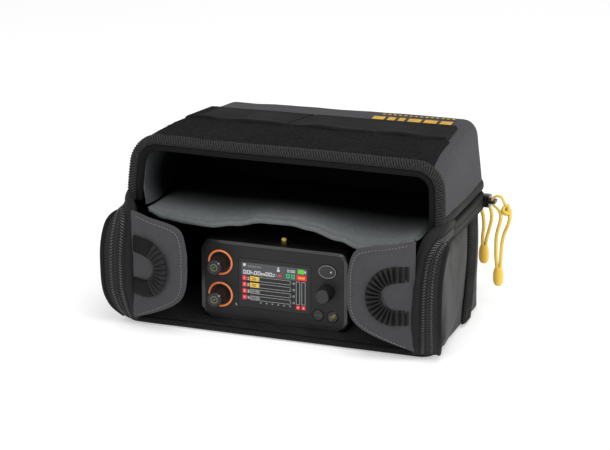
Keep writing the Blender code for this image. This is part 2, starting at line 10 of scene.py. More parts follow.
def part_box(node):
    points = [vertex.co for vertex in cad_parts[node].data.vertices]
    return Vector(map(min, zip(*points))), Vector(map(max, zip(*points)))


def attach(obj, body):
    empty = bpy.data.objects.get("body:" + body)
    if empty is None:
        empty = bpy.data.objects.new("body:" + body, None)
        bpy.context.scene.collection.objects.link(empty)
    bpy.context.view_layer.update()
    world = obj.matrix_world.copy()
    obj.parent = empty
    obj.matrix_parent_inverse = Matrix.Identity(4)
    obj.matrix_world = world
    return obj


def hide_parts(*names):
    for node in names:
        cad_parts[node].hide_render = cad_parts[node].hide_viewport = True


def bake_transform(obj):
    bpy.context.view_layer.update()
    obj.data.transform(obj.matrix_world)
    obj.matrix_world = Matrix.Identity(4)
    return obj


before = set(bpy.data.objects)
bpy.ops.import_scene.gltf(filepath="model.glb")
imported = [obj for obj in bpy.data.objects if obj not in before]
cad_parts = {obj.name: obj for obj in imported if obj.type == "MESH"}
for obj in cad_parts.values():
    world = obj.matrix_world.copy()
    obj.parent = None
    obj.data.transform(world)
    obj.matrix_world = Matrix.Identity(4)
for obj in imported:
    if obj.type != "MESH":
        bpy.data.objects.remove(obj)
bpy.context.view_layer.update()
MM = 0.001

# Places read from the frame
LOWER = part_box("lower_wall")
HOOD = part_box("hood_wall")
HOOD_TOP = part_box("hood_top_panel")
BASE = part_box("base_panel")
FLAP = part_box("divider_flap")
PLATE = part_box("face_plate")
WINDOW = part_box("display_window")
HALF_WIDTH = LOWER[1].x
REAR_Y = LOWER[1].y
HOOD_REAR_Y = HOOD[1].y
HOOD_FRONT_Y = HOOD[0].y
HOOD_BOTTOM = HOOD[0].z
TOP_Z = HOOD_TOP[1].z
WALL_TOP = LOWER[1].z
FACE_Y = PLATE[0].y

# Radii of the bag's upright corners, and of the hood's long edges at its rear and at its rim
CORNER = 14 * MM
HOOD_EDGE = 13 * MM
ARCH_RADIUS = 23 * MM


# ---------------------------------------------------------------- node materials

class Graph:
    """Short calls for building one material's nodes."""

    def __init__(self, name, colour, roughness, **sockets):
        self.material = bpy.data.materials.new(name)
        self.material.use_nodes = True
        self.tree = self.material.node_tree
        self.shader = self.tree.nodes["Principled BSDF"]
        self.shader.inputs["Base Color"].default_value = (*colour, 1.0)
        self.shader.inputs["Roughness"].default_value = roughness
        for key, value in sockets.items():
            self.shader.inputs[key.replace("_", " ")].default_value = value
        self.material.diffuse_color = (*colour, 1.0)

    def node(self, kind, settings=None, **inputs):
        made = self.tree.nodes.new("ShaderNode" + kind)
        for key, value in (settings or {}).items():
            setattr(made, key, value)
        for key, value in inputs.items():
            socket = made.inputs[int(key[1:])] if key[0] == "i" and key[1:].isdigit() else made.inputs[key]
            if isinstance(value, bpy.types.NodeSocket):
                self.tree.links.new(value, socket)
            else:
                socket.default_value = value
        return made

    def math(self, operation, a, b=0.0):
        return self.node("Math", {"operation": operation}, i0=a, i1=b).outputs[0]

    def add(self, a, b):
        return self.math("ADD", a, b)

    def times(self, a, b):
        return self.math("MULTIPLY", a, b)

    def lifted(self, wave):
        """A wave between -1 and 1, brought to between 0 and 1."""
        return self.add(self.times(wave, 0.5), 0.5)

    def sum_of(self, *parts):
        """The sum of (value, weight) pairs."""
        total = None
        for value, weight in parts:
            part = self.times(value, weight)
            total = part if total is None else self.add(total, part)
        return total

    def mix(self, factor, a, b):
        made = self.node("Mix", {"data_type": "RGBA"})
        for socket, value in zip((made.inputs[0], made.inputs[6], made.inputs[7]), (factor, a, b)):
            if isinstance(value, bpy.types.NodeSocket):
                self.tree.links.new(value, socket)
            else:
                socket.default_value = (*value, 1.0) if hasattr(value, "__len__") else value
        return made.outputs[2]

    def place(self):
        """Object coordinates, split into X, Y and Z."""
        self.coord = self.node("TexCoord")
        split = self.node("SeparateXYZ", i0=self.coord.outputs["Object"])
        return split.outputs

    def noise(self, scale, detail=3.0, roughness=0.55):
        made = self.node("TexNoise", Scale=scale, Detail=detail, Roughness=roughness)
        self.tree.links.new(self.coord.outputs["Object"], made.inputs["Vector"])
        return made.outputs[0]

    def ramp(self, value, low, high):
        made = self.node("MapRange", {"clamp": True})
        self.tree.links.new(value, made.inputs[0])
        made.inputs[1].default_value = low
        made.inputs[2].default_value = high
        return made.outputs[0]

    def weights(self):
        """How much the surface faces X, Y and Z."""
        split = self.node("SeparateXYZ", i0=self.coord.outputs["Normal"])
        powers = [self.math("POWER", self.math("ABSOLUTE", s), 4.0) for s in split.outputs]
        total = self.add(self.add(powers[0], powers[1]), powers[2])
        return [self.math("DIVIDE", p, total) for p in powers]

    def wave(self, value, pitch):
        return self.math("SINE", self.times(value, 2 * math.pi / pitch))

    def use(self, socket, value):
        self.tree.links.new(value, self.shader.inputs[socket])

    def bump(self, height, distance, strength=1.0):
        made = self.node("Bump", Strength=strength, Distance=distance, Height=height)
        self.use("Normal", made.outputs[0])


def woven(name, dark, light, pitch, distance, roughness=0.85, fleck=0.25, level=0.1):
    """Plain weave that follows whichever way the surface faces."""
    g = Graph(name, light, roughness, Sheen_Weight=0.03, Sheen_Roughness=0.5, Specular_IOR_Level=level)
    x, y, z = g.place()
    shift = g.times(g.math("SUBTRACT", g.noise(35.0, 2.0), 0.5), pitch * 1.2)
    crossings = [g.times(g.wave(g.add(a, shift), pitch), g.wave(g.add(b, shift), pitch))
                 for a, b in ((y, z), (x, z), (x, y))]
    height = g.lifted(g.sum_of(*zip(crossings, g.weights())))
    speck = g.noise(900.0, 4.0, 0.7)
    cloud = g.noise(14.0, 3.0)
    tone = g.sum_of((height, 1.0 - fleck), (speck, fleck))
    g.use("Base Color", g.mix(g.sum_of((tone, 0.75), (cloud, 0.25)), dark, light))
    g.use("Roughness", g.ramp(cloud, -0.9, 1.15))
    g.bump(g.add(height, g.times(speck, 0.5)), distance)
    return g.material


def ribbed(name, dark, light, axis, pitch, distance, roughness=0.7):
    """Woven tape with ribs across one axis and a finer thread across the ribs."""
    g = Graph(name, light, roughness, Specular_IOR_Level=0.12)
    places = list(g.place())
    along = places.pop("XYZ".index(axis))
    rib = g.lifted(g.wave(along, pitch))
    thread = g.lifted(g.wave(g.add(*places), pitch * 0.55))
    grain = g.noise(700.0, 3.0)
    cloud = g.noise(22.0, 3.0)
    tone = g.times(rib, g.add(g.times(thread, 0.4), 0.6))
    tone = g.sum_of((tone, 0.7), (g.add(grain, cloud), 0.15))
    g.use("Base Color", g.mix(tone, dark, light))
    g.use("Roughness", g.ramp(cloud, -1.1, 1.2))
    g.bump(g.add(rib, g.times(thread, 0.35)), distance)
    return g.material


def fuzzy(name, dark, light, scale, distance):
    """Brushed or looped pile, with grain at two sizes."""
    g = Graph(name, light, 0.95, Specular_IOR_Level=0.06)
    g.place()
    coarse = g.noise(scale, 4.0, 0.65)
    fine = g.noise(scale * 4.5, 3.0, 0.7)
    cloud = g.noise(18.0, 3.0)
    tone = g.sum_of((coarse, 0.45), (fine, 0.3), (cloud, 0.25))
    g.use("Base Color", g.mix(g.ramp(tone, 0.3, 0.7), dark, light))
    g.use("Roughness", g.ramp(cloud, -1.5, 0.9))
    g.bump(g.add(coarse, g.times(fine, 0.6)), distance)
    return g.material


def moulded(name, colour, worn, roughness, grain_scale=2500.0, distance=0.00004, metallic=0.0, coat=0.0,
            glow=None, level=0.5):
    """Moulded plastic, rubber, painted or plain metal, with fine grain and slightly polished high spots."""
    g = Graph(name, colour, roughness, Metallic=metallic, Coat_Weight=coat, Specular_IOR_Level=level)
    g.place()
    grain = g.noise(grain_scale, 2.0)
    cloud = g.noise(60.0, 4.0, 0.6)
    g.use("Base Color", g.mix(g.ramp(cloud, 0.35, 0.75), colour, worn))
    rough = g.add(g.times(cloud, 0.22), roughness - 0.11)
    g.use("Roughness", g.add(rough, g.times(grain, 0.06)))
    g.bump(grain, distance)
    if glow:
        g.shader.inputs["Emission Color"].default_value = (*glow[0], 1.0)
        g.shader.inputs["Emission Strength"].default_value = glow[1]
    return g.material


def lit(name, colour, strength, roughness=0.4):
    """A lit patch of the display or a printed mark: even colour with a faint pixel-size grain."""
    g = Graph(name, colour, roughness, Emission_Strength=strength, Specular_IOR_Level=0.3)
    g.shader.inputs["Emission Color"].default_value = (*colour, 1.0)
    g.place()
    grain = g.noise(1800.0, 2.0)
    dim = tuple(c * 0.82 for c in colour)
    g.use("Base Color", g.mix(g.ramp(grain, 0.3, 0.7), dim, colour))
    return g.material


def braided(name, dark, light, pitch):
    """Round braid: two sets of strands crossing along a cord that mostly hangs."""
    g = Graph(name, light, 0.55, Sheen_Weight=0.2, Specular_IOR_Level=0.3)
    x, y, z = g.place()
    sideways = g.add(x, y)
    one = g.wave(g.add(z, sideways), pitch)
    two = g.wave(g.math("SUBTRACT", z, sideways), pitch)
    height = g.lifted(g.math("MAXIMUM", one, two))
    cloud = g.noise(120.0, 3.0)
    g.use("Base Color", g.mix(g.sum_of((height, 0.7), (cloud, 0.3)), dark, light))
    g.use("Roughness", g.ramp(cloud, -1.0, 1.6))
    g.bump(height, 0.00025)
    return g.material


def hatched(name, dark, light, pitch, distance, roughness=0.7):
    """Narrow woven tape with slanting ribs, crossed by a finer thread, whichever way it faces."""
    g = Graph(name, light, roughness, Specular_IOR_Level=0.16)
    x, y, z = g.place()
    level = g.add(x, g.times(y, 0.6))
    rib = g.lifted(g.wave(g.add(level, z), pitch))
    thread = g.lifted(g.wave(g.math("SUBTRACT", level, z), pitch * 1.1))
    cloud = g.noise(40.0, 3.0)
    height = g.times(rib, g.add(g.times(thread, 0.7), 0.3))
    g.use("Base Color", g.mix(g.sum_of((height, 0.85), (cloud, 0.15)), dark, light))
    g.use("Roughness", g.ramp(cloud, -1.1, 1.2))
    g.bump(height, distance)
    return g.material


def fleece_with_painted_shade(name, dark, near, far, start, end):
    """Fleece with painted shade: its colour darkens with its depth into the bag, along Y, towards the far
    colour.
    """
    g = Graph(name, near, 0.95, Specular_IOR_Level=0.06)
    y = g.place()[1]
    coarse = g.noise(260.0, 4.0, 0.65)
    fine = g.noise(1100.0, 3.0, 0.7)
    cloud = g.noise(26.0, 3.0)
    tone = g.sum_of((coarse, 0.4), (fine, 0.35), (cloud, 0.25))
    clean = g.mix(g.ramp(tone, 0.3, 0.7), dark, near)
    # Painted shade: mixes from the clean fleece to the far colour between start and end along Y
    depth = g.ramp(g.add(y, g.times(cloud, 0.012)), start, end)
    g.use("Base Color", g.mix(depth, clean, far))
    g.use("Roughness", g.ramp(cloud, -1.5, 0.9))
    g.bump(g.add(coarse, g.times(fine, 0.6)), 0.0003)
    return g.material


def grey(level):
    return level, level, level


def make_materials():
    black = (0.0022, 0.0022, 0.0023)
    return {
        "shell": woven("shell_weave", (0.016, 0.0155, 0.0175), (0.096, 0.092, 0.098), 1.8 * MM, 0.00035,
                       fleck=0.2),
        "wing": woven("wing_weave", (0.017, 0.0165, 0.0190), (0.092, 0.089, 0.096), 1.8 * MM, 0.00035,
                      fleck=0.2),
        "black": woven("black_nylon_weave", black, (0.0130, 0.0130, 0.0128), 1.8 * MM, 0.00016, 0.72),
        "cushion": woven("cushion_nylon", grey(0.0040), (0.0150, 0.0148, 0.0148), 1.2 * MM, 0.00005, 0.45,
                         level=0.45),
        "tape": hatched("tape_hatch", black, (0.040, 0.040, 0.039), 2.5 * MM, 0.00035, 0.6),
        "smooth_black": woven("black_tape_weave", grey(0.0030), (0.0105, 0.0105, 0.0100), 0.8 * MM,
                              0.00005, 0.55, level=0.2),
        "edge_cloth": woven("edge_weave", grey(0.0015), grey(0.0075), 1.3 * MM, 0.00008, 0.72),
        # flap and corner_lining: grey fleece with painted shade, going to near-black deeper into the bag
        "flap": fleece_with_painted_shade("flap_fleece_painted_shade", (0.086, 0.093, 0.095), (0.150, 0.159, 0.162), (0.002, 0.0022, 0.0024),
                      -0.040, 0.006),
        "corner_lining": fleece_with_painted_shade("corner_fleece_painted_shade", (0.038, 0.042, 0.044), (0.085, 0.092, 0.095),
                               (0.002, 0.0022, 0.0024), -0.046, -0.006),
        # Near-black fleece: painted shade for the deep inside of the bag, whose real lining is grey
        "dark_lining": fuzzy("shaded_lining_fleece", (0.0008, 0.0008, 0.0009), (0.0030, 0.0031, 0.0032), 260.0,
                             0.0005),
        "pile": fuzzy("loop_pile", grey(0.0003), (0.024, 0.024, 0.0245), 330.0, 0.0016),
        "web_x": ribbed("webbing_x", grey(0.0012), (0.020, 0.020, 0.0195), "X", 1.9 * MM, 0.0003),
        "web_z": ribbed("webbing_z", grey(0.0012), (0.022, 0.022, 0.021), "Z", 2.4 * MM, 0.0004),
        "loop_web": ribbed("loop_webbing", grey(0.0012), (0.0135, 0.0135, 0.0130), "Z", 0.9 * MM, 0.0001),
        # rib: lighter colour for the crests of the rim's slanting ribs, a painted highlight
        "rib": woven("rib_crest_painted_highlight", grey(0.012), (0.046, 0.046, 0.045), 0.8 * MM, 0.00005, 0.6, level=0.2),
        # pleat: lighter colour for the crests of the wing loops' pleats, a painted highlight
        "pleat": woven("pleat_crest_painted_highlight", grey(0.0045), (0.021, 0.021, 0.0205), 0.8 * MM, 0.00005, 0.6,
                       level=0.2),
        "thread": moulded("stitch_thread", (0.13, 0.13, 0.135), grey(0.19), 0.7),
        "dark_thread": moulded("dark_thread", grey(0.004), grey(0.012), 0.6),
        "teeth": moulded("zip_coil", (0.034, 0.035, 0.033), (0.080, 0.080, 0.077), 0.36),
        "metal": moulded("slider_metal", grey(0.006), (0.035, 0.030, 0.020), 0.28, 900.0, 0.00003, 0.6, 0.3),
        "cord": braided("cord_braid", (0.72, 0.44, 0.04), (0.95, 0.70, 0.13), 1.5 * MM),
        "tip": moulded("tip_plastic", (0.86, 0.54, 0.06), (0.90, 0.60, 0.10), 0.42),
        "print": moulded("yellow_print", (0.66, 0.37, 0.03), (0.46, 0.27, 0.03), 0.6, 900.0, 0.0001),
        "case": moulded("case_plastic", (0.0060, 0.0062, 0.0062), (0.013, 0.013, 0.0135), 0.30, 1800.0,
                        0.00005,
                        coat=0.25),
        "face": moulded("face_panel", (0.0080, 0.0080, 0.0083), (0.0110, 0.0110, 0.0114), 0.48, 2400.0,
                        0.00003,
                        level=0.3),
        "glass": moulded("window_coat", (0.0055, 0.0060, 0.0062), (0.0070, 0.0075, 0.0080), 0.22, 300.0, 0.0,
                         coat=0.1, level=0.3),
        "glow": moulded("ring_glow", (0.52, 0.13, 0.045), (0.66, 0.22, 0.08), 0.4, 500.0, 0.00002,
                        glow=((1.0, 0.24, 0.07), 0.22)),
        "knob": moulded("knob_rubber", grey(0.0045), (0.013, 0.013, 0.012), 0.42, 1500.0, 0.00006),
        "key": moulded("key_rubber", grey(0.0050), grey(0.010), 0.40, 1500.0, 0.00004),
        "mark": moulded("pale_mark", (0.40, 0.41, 0.40), (0.28, 0.29, 0.28), 0.5),
        "olive_mark": moulded("olive_mark", (0.20, 0.19, 0.10), (0.15, 0.145, 0.08), 0.5),
        "yellow_mark": moulded("yellow_mark", (0.40, 0.36, 0.08), (0.30, 0.27, 0.06), 0.5),
        "steel": moulded("plain_steel", (0.45, 0.45, 0.46), grey(0.6), 0.3, 800.0, 0.00003, 1.0),
        "board": moulded("circuit_board", (0.02, 0.10, 0.05), (0.03, 0.14, 0.07), 0.5),
        "cell": moulded("cell_sleeve", (0.10, 0.11, 0.15), (0.14, 0.15, 0.19), 0.45),
        "ui_black": lit("ui_black", (0.010, 0.011, 0.012), 0.0, 0.25),
        "ui_bar": lit("ui_bar", (0.060, 0.062, 0.066), 0.20),
        "ui_white": lit("ui_white", (0.52, 0.53, 0.52), 0.22),
        "ui_line": lit("ui_line", (0.30, 0.31, 0.31), 0.20),
        "ui_grey": lit("ui_grey", (0.17, 0.18, 0.19), 0.20),
        "ui_red": lit("ui_red", (0.62, 0.018, 0.028), 0.30),
        "ui_yellow": lit("ui_yellow", (0.66, 0.42, 0.045), 0.25),
        "ui_green": lit("ui_green", (0.02, 0.36, 0.14), 0.25),
        "ui_lime": lit("ui_lime", (0.10, 0.46, 0.035), 0.25),
    }


MATERIALS = make_materials()


# ---------------------------------------------------------------- mesh helpers

def new_object(name, points, faces, materials, smooth=True, angle=50):
    mesh = bpy.data.meshes.new(name)
    mesh.from_pydata([tuple(p) for p in points], [], faces)
    mesh.update()
    bm = bmesh.new()
    bm.from_mesh(mesh)
    bmesh.ops.recalc_face_normals(bm, faces=bm.faces)
    bm.to_mesh(mesh)
    bm.free()
    if smooth:
        mesh.shade_smooth()
        mesh.set_sharp_from_angle(angle=math.radians(angle))
    for key in [materials] if isinstance(materials, str) else materials:
        mesh.materials.append(MATERIALS[key])
    obj = bpy.data.objects.new(name, mesh)
    bpy.context.scene.collection.objects.link(obj)
    return obj


def join(name, parts, materials, angle=50):
    """One object from several (points, faces) pieces."""
    points, faces = [], []
    for some_points, some_faces in parts:
        start = len(points)
        points += list(some_points)
        faces += [tuple(i + start for i in f) for f in some_faces]
    return new_object(name, points, faces, materials, angle=angle)


def lattice(rows, closed_u=False, closed_v=False, caps=False):
    """(points, faces) of a grid of points, rows being lists of equal length."""
    points = [p for row in rows for p in row]
    width = len(rows[0])
    faces = []
    for i in range(len(rows) if closed_u else len(rows) - 1):
        for j in range(width if closed_v else width - 1):
            a, b = i * width + j, i * width + (j + 1) % width
            c, d = ((i + 1) % len(rows)) * width + (j + 1) % width, ((i + 1) % len(rows)) * width + j
            faces.append((a, b, c, d))
    if caps:
        faces.append(tuple(range(width)))
        faces.append(tuple(reversed(range(len(points) - width, len(points)))))
    return points, faces


def smooth_path(points, steps):
    """Catmull-Rom curve through the points."""
    points = [Vector(p) for p in points]
    out = []
    for i in range(len(points) - 1):
        a, b, c, d = (points[min(max(i + k, 0), len(points) - 1)] for k in (-1, 0, 1, 2))
        for s in range(steps):
            t = s / steps
            out.append(0.5 * (2 * b + (c - a) * t + (2 * a - 5 * b + 4 * c - d) * t**2
                              + (3 * b - a - 3 * c + d) * t**3))
    return out + [points[-1]]


def table(pairs, value):
    """Smooth curve through (place, height) pairs."""
    if value <= pairs[0][0]:
        return pairs[0][1]
    for (x0, y0), (x1, y1) in zip(pairs, pairs[1:]):
        if value <= x1:
            t = (value - x0) / (x1 - x0)
            return y0 + (y1 - y0) * t * t * (3 - 2 * t)
    return pairs[-1][1]


def resample(path, spacing):
    """Points an even distance apart along a polyline, and their distance from its start."""
    lengths = [0.0]
    for a, b in zip(path, path[1:]):
        lengths.append(lengths[-1] + (b - a).length)
    count = max(2, round(lengths[-1] / spacing))
    out, k = [], 0
    for i in range(count + 1):
        want = lengths[-1] * i / count
        while k < len(path) - 2 and lengths[k + 1] < want:
            k += 1
        span = lengths[k + 1] - lengths[k]
        out.append(path[k].lerp(path[k + 1], (want - lengths[k]) / span if span else 0.0))
    return out, lengths[-1]


def tube(path, radius, sides=10, closed=False):
    """(points, faces) of a round tube along a path, with its radius a number or a function of its share."""
    rows = []
    side = None
    for i, p in enumerate(path):
        before = path[i - 1] if i or closed else path[0]
        after = path[(i + 1) % len(path)] if i < len(path) - 1 or closed else path[-1]
        along = (after - before).normalized()
        if side is None:
            side = along.orthogonal().normalized()
        side = (side - along * side.dot(along)).normalized()
        up = along.cross(side)
        r = radius(i / (len(path) - 1)) if callable(radius) else radius
        turns = [2 * math.pi * k / sides for k in range(sides)]
        rows.append([p + side * r * math.cos(turn) + up * r * math.sin(turn) for turn in turns])
    return lattice(rows, closed_u=closed, closed_v=True, caps=not closed)


def capsule(a, b, radius, sides=6):
    """A short stitch or bar between two points, with rounded ends."""
    along = b - a
    path = [a, a + along * 0.15, a + along * 0.5, a + along * 0.85, b]
    shares = {0.0: 0.35, 0.25: 0.9, 0.5: 1.0, 0.75: 0.9, 1.0: 0.35}
    return tube(path, lambda s: radius * shares[s], sides)


def clamp(value):
    return max(0.0, min(1.0, value))


def wobble(p, scale, amount, seed=0.0):
    return amount * noise.noise(Vector((p[0] * scale + seed, p[1] * scale - seed, p[2] * scale + 2 * seed)))


def add_modifier(obj, kind, **settings):
    made = obj.modifiers.new(kind.lower(), kind)
    for key, value in settings.items():
        setattr(made, key, value)
    return made


def subdivide(obj, levels=1):
    add_modifier(obj, "SUBSURF", levels=levels, render_levels=levels)


def mirrored(point, sign):
    return Vector((point[0] * sign, point[1], point[2]))


# ---------------------------------------------------------------- lower shell

# The shell's front edge, bottom up: height, then how far out and how far forward, in millimetres
FRONT_EDGE_X = ((3.5, 142.5), (17, 147), (34, 149.2), (56, 149.7), (76, 149.8), (91, 149.5), (96, 148),
                (99, 145.5),
                (105.5, 142))
FRONT_EDGE_Y = ((3.5, -66.5), (17, -80), (34, -89), (56, -91.5), (76, -89.5), (91, -80), (96, -65), (99, -50),
                (105.5, -30))
# Where the side starts to flare outwards, towards the front
STRAIGHT_Y = -0.022
BELOW_WELT = 2.2 * MM


def side_surface(y, z):
    """How far out the shell's side stands at one place."""
    front_x, front_y = table(FRONT_EDGE_X, z / MM) * MM, table(FRONT_EDGE_Y, z / MM) * MM
    level = math.sin(math.pi * clamp((z - 0.004) / 0.1))
    flare = clamp((STRAIGHT_Y - y) / (STRAIGHT_Y - front_y))
    belly = 0.0016 * level * math.sin(math.pi * max(0.0, (y - STRAIGHT_Y) / (REAR_Y - STRAIGHT_Y)))
    return HALF_WIDTH + (front_x - HALF_WIDTH) * flare**1.7 + belly


def lower_plan(z, count_side=34, count_corner=8, count_rear=44):
    """Outer line of the lower shell at one height, from just behind the right welt round to the left one."""
    front_y = table(FRONT_EDGE_Y, z / MM) * MM + BELOW_WELT
    level = math.sin(math.pi * clamp((z - 0.004) / 0.1))
    line = []
    for i in range(count_side):
        y = front_y + (REAR_Y - CORNER - front_y) * i / count_side
        line.append((side_surface(y, z), y))
    for i in range(count_corner):
        turn = math.radians(90 * i / count_corner)
        line.append((HALF_WIDTH - CORNER + CORNER * math.cos(turn),
                     REAR_Y - CORNER + CORNER * math.sin(turn)))
    for i in range(count_rear // 2 + 1):
        x = (HALF_WIDTH - CORNER) * (1 - 2 * i / count_rear)
        line.append((x, REAR_Y + 0.0022 * level * math.cos(math.pi * x / 2 / HALF_WIDTH)))
    return line + [(-x, y) for x, y in reversed(line[:-1])]


def build_lower_shell():
    heights = [0.0040 + (WALL_TOP - 0.0040) * i / 38 for i in range(39)]
    rows = []
    for z in heights:
        row = []
        for x, y in lower_plan(z):
            p = Vector((x, y, z))
            out = Vector((x, max(y, 0.0), 0)).normalized()
            free = clamp((y + 0.070) / 0.030)
            row.append(p + out * free * (wobble(p, 22, 0.9 * MM) + wobble(p, 75, 0.3 * MM, 5.0)))
        rows.append(row)
    shell = join("lower_shell", [lattice(rows)], ("shell", "dark_lining"), angle=180)
    face_outwards(shell)
    subdivide(shell)
    # The inner side and the rim take the near-black lining: painted shade inside the bag
    add_modifier(shell, "SOLIDIFY", thickness=3.4 * MM, offset=-1.0, material_offset=1, material_offset_rim=1)
    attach(shell, "bag")
    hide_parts("lower_wall")


def build_upstand():
    """The lining carried up behind the zip, so that no light comes through the closed seam."""
    inset = 5.0 * MM
    radius = CORNER - inset
    plan = [(HALF_WIDTH - inset, -0.044 + 0.01 * i) for i in range(11)]
    plan += [(HALF_WIDTH - CORNER + radius * math.cos(math.radians(a)),
              REAR_Y - CORNER + radius * math.sin(math.radians(a))) for a in range(0, 91, 10)]
    plan += [(-x, y) for x, y in reversed(plan)]
    rows = [[Vector((x, y, WALL_TOP - 4 * MM + 16 * MM * i / 6)) for i in range(7)] for x, y in plan]
    # Its near-black lining is painted shade behind the closed zip
    upstand = join("lining_upstand", [lattice(rows)], "dark_lining", angle=180)
    add_modifier(upstand, "SOLIDIFY", thickness=0.8 * MM, offset=0.0)
    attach(upstand, "bag")


def face_outwards(obj):
    """Turns an open shell's faces so that most of them look away from the bag's middle."""
    middle = Vector((0, 0, 0.06))
    bm = bmesh.new()
    bm.from_mesh(obj.data)
    score = sum(f.normal.dot(f.calc_center_median() - middle) for f in bm.faces)
    if score < 0:
        bmesh.ops.reverse_faces(bm, faces=bm.faces)
    bm.to_mesh(obj.data)
    bm.free()


def build_base():
    """The base board in its black cover, with a soft edge all round, and the hatched floor lining on it."""
    half_x, half_y = BASE[1].x, BASE[1].y
    levels = ((0.0, 2.6), (0.0006, 1.0), (0.0022, 0.1), (0.0042, 0.1), (0.0056, 1.0), (0.0064, 2.6))
    rows = []
    for z, inset in levels:
        rows.append(plan_loop(half_x - inset * MM, half_y - inset * MM, 11 * MM, z))
    rows.append(plan_loop(half_x - 14 * MM, half_y - 14 * MM, 3 * MM, 0.0064))
    for row in rows[1:-1]:
        for p in row:
            p.z += wobble(p, 40, 0.25 * MM)
    base = join("base_cover", [lattice(rows, closed_v=True, caps=True)], "black")
    subdivide(base)
    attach(base, "bag")
    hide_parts("base_panel")

    floor_rows = []
    for j in range(70):
        y = -0.0712 + 0.138 * j / 69
        row = []
        for i in range(150):
            x = -0.134 + 0.268 * i / 149
            edge = min(1.0, (0.134 - abs(x)) / 0.006, (y + 0.0718) / 0.003)
            z = 0.0062 + 0.0013 * max(0.0, edge) ** 0.5 + wobble((x, y, 0), 300, 0.25 * MM)
            row.append(Vector((x, y, min(z, 0.00772))))
        floor_rows.append(row)
    floor = join("floor_pile", [lattice(floor_rows)], "tape", angle=180)
    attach(floor, "bag")
    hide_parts("floor_lining")


def plan_loop(half_x, half_y, radius, z, per_corner=8, per_side=26):
    """A rounded rectangle of points at one height, about the origin."""
    loop = []
    corners = ((1, 1, 0), (-1, 1, 90), (-1, -1, 180), (1, -1, 270))
    for n, (sx, sy, start) in enumerate(corners):
        centre = Vector((sx * (half_x - radius), sy * (half_y - radius), z))
        for i in range(per_corner + 1):
            turn = math.radians(start + 90 * i / per_corner)
            loop.append(centre + radius * Vector((math.cos(turn), math.sin(turn), 0)))
        nx, ny, _ = corners[(n + 1) % 4]
        following = Vector((nx * (half_x - radius), ny * (half_y - radius), z))
        turn = math.radians(start + 90)
        reach = radius * Vector((math.cos(turn), math.sin(turn), 0))
        for i in range(1, per_side):
            loop.append(centre.lerp(following, i / per_side) + reach)
    return loop


# ---------------------------------------------------------------- zip flange

# Inner and outer edge of the right-hand tape in millimetres, from the front lower corner up, then back.
# The rest turns round the rear corner and ends at the back.
TAPE_FRONT = (
    ((126.5, -76.5, 5.0), (142.5, -66.5, 3.5)), ((128.5, -79.5, 18.0), (147.0, -80.0, 17.0)),
    ((130.5, -83.5, 36.0), (149.2, -89.0, 34.0)), ((131.0, -84.0, 55.0), (149.7, -91.5, 56.0)),
    ((131.5, -81.5, 72.0), (149.8, -89.5, 76.0)), ((132.5, -75.5, 89.0), (149.5, -80.0, 91.0)),
    ((136.5, -67.0, 101.0), (148.0, -65.0, 96.0)), ((141.2, -54.0, 105.5), (145.0, -50.0, 94.5)),
    ((142.2, -30.0, 106.2), (142.2, -29.0, 94.0)), ((142.2, 15.0, 106.2), (142.2, 15.0, 94.0)),
    ((142.2, 58.0, 106.2), (142.2, 58.0, 94.0)),
)
TAPE_X = 142.2
TAPE_REAR = 74.8
TAPE_CORNER = 16.7
TAPE_TOP, TAPE_FOOT = 106.2, 94.0
TAPE_REAR_END = 98.0
TAPE_STEP = 1.5


def tape_path(sign):
    """(inner, outer, distance from the start) along one tape, evenly spaced."""
    inner = smooth_path([a for a, _ in TAPE_FRONT], 12)
    outer = smooth_path([b for _, b in TAPE_FRONT], 12)
    turn_x, turn_y = TAPE_X - TAPE_CORNER, TAPE_REAR - TAPE_CORNER
    corner = [math.radians(90 * i / 12) for i in range(1, 13)]
    plan = [(turn_x + TAPE_CORNER * math.cos(turn), turn_y + TAPE_CORNER * math.sin(turn)) for turn in corner]
    plan += [(turn_x - (turn_x - TAPE_REAR_END) * i / 12, TAPE_REAR) for i in range(1, 13)]
    inner += [Vector((x, y, TAPE_TOP)) for x, y in plan]
    outer += [Vector((x, y, TAPE_FOOT)) for x, y in plan]
    middle = [(a + b) / 2 for a, b in zip(inner, outer)]
    run = [0.0]
    for a, b in zip(middle, middle[1:]):
        run.append(run[-1] + (b - a).length)
    count = round(run[-1] / TAPE_STEP)
    pairs, k = [], 0
    for i in range(count + 1):
        want = run[-1] * i / count
        while k < len(run) - 2 and run[k + 1] < want:
            k += 1
        t = (want - run[k]) / (run[k + 1] - run[k])
        a, b = inner[k].lerp(inner[k + 1], t) * MM, outer[k].lerp(outer[k + 1], t) * MM
        pairs.append((mirrored(a, sign), mirrored(b, sign), want * MM))
    return pairs


def tape_frames(sign):
    """(inner, outer, along, across, out, distance from the start) for each pair of the tape."""
    pairs = tape_path(sign)
    frames = []
    for i, (a, b, run) in enumerate(pairs):
        before, after = pairs[max(i - 1, 0)], pairs[min(i + 1, len(pairs) - 1)]
        along = (after[0] + after[1] - before[0] - before[1]).normalized()
        across = (b - a).normalized()
        out = across.cross(along) * sign
        if out.dot(Vector((sign, -0.6 if i < len(pairs) * 0.6 else 0.8, 0))) < 0:
            out = -out
        frames.append((a, b, along, across, out.normalized(), run))
    return frames


def strip(frames, section):
    """Sweeps a section, (share of the width or millimetres past it, rise in millimetres), along the tape."""
    rows = []
    for a, b, _, across, out, _ in frames:
        width = (b - a).length
        rows.append([a + across * (width * share + extra * MM) + out * rise * MM
                     for share, extra, rise in section])
    return lattice(rows)


# The run of the tape that faces forward, before it turns to the side
FRONT_RUN = 0.150
WELT_RADIUS = 2.1 * MM
TOOTH_PITCH = 2.5 * MM
TEETH_END_Y = -0.0335


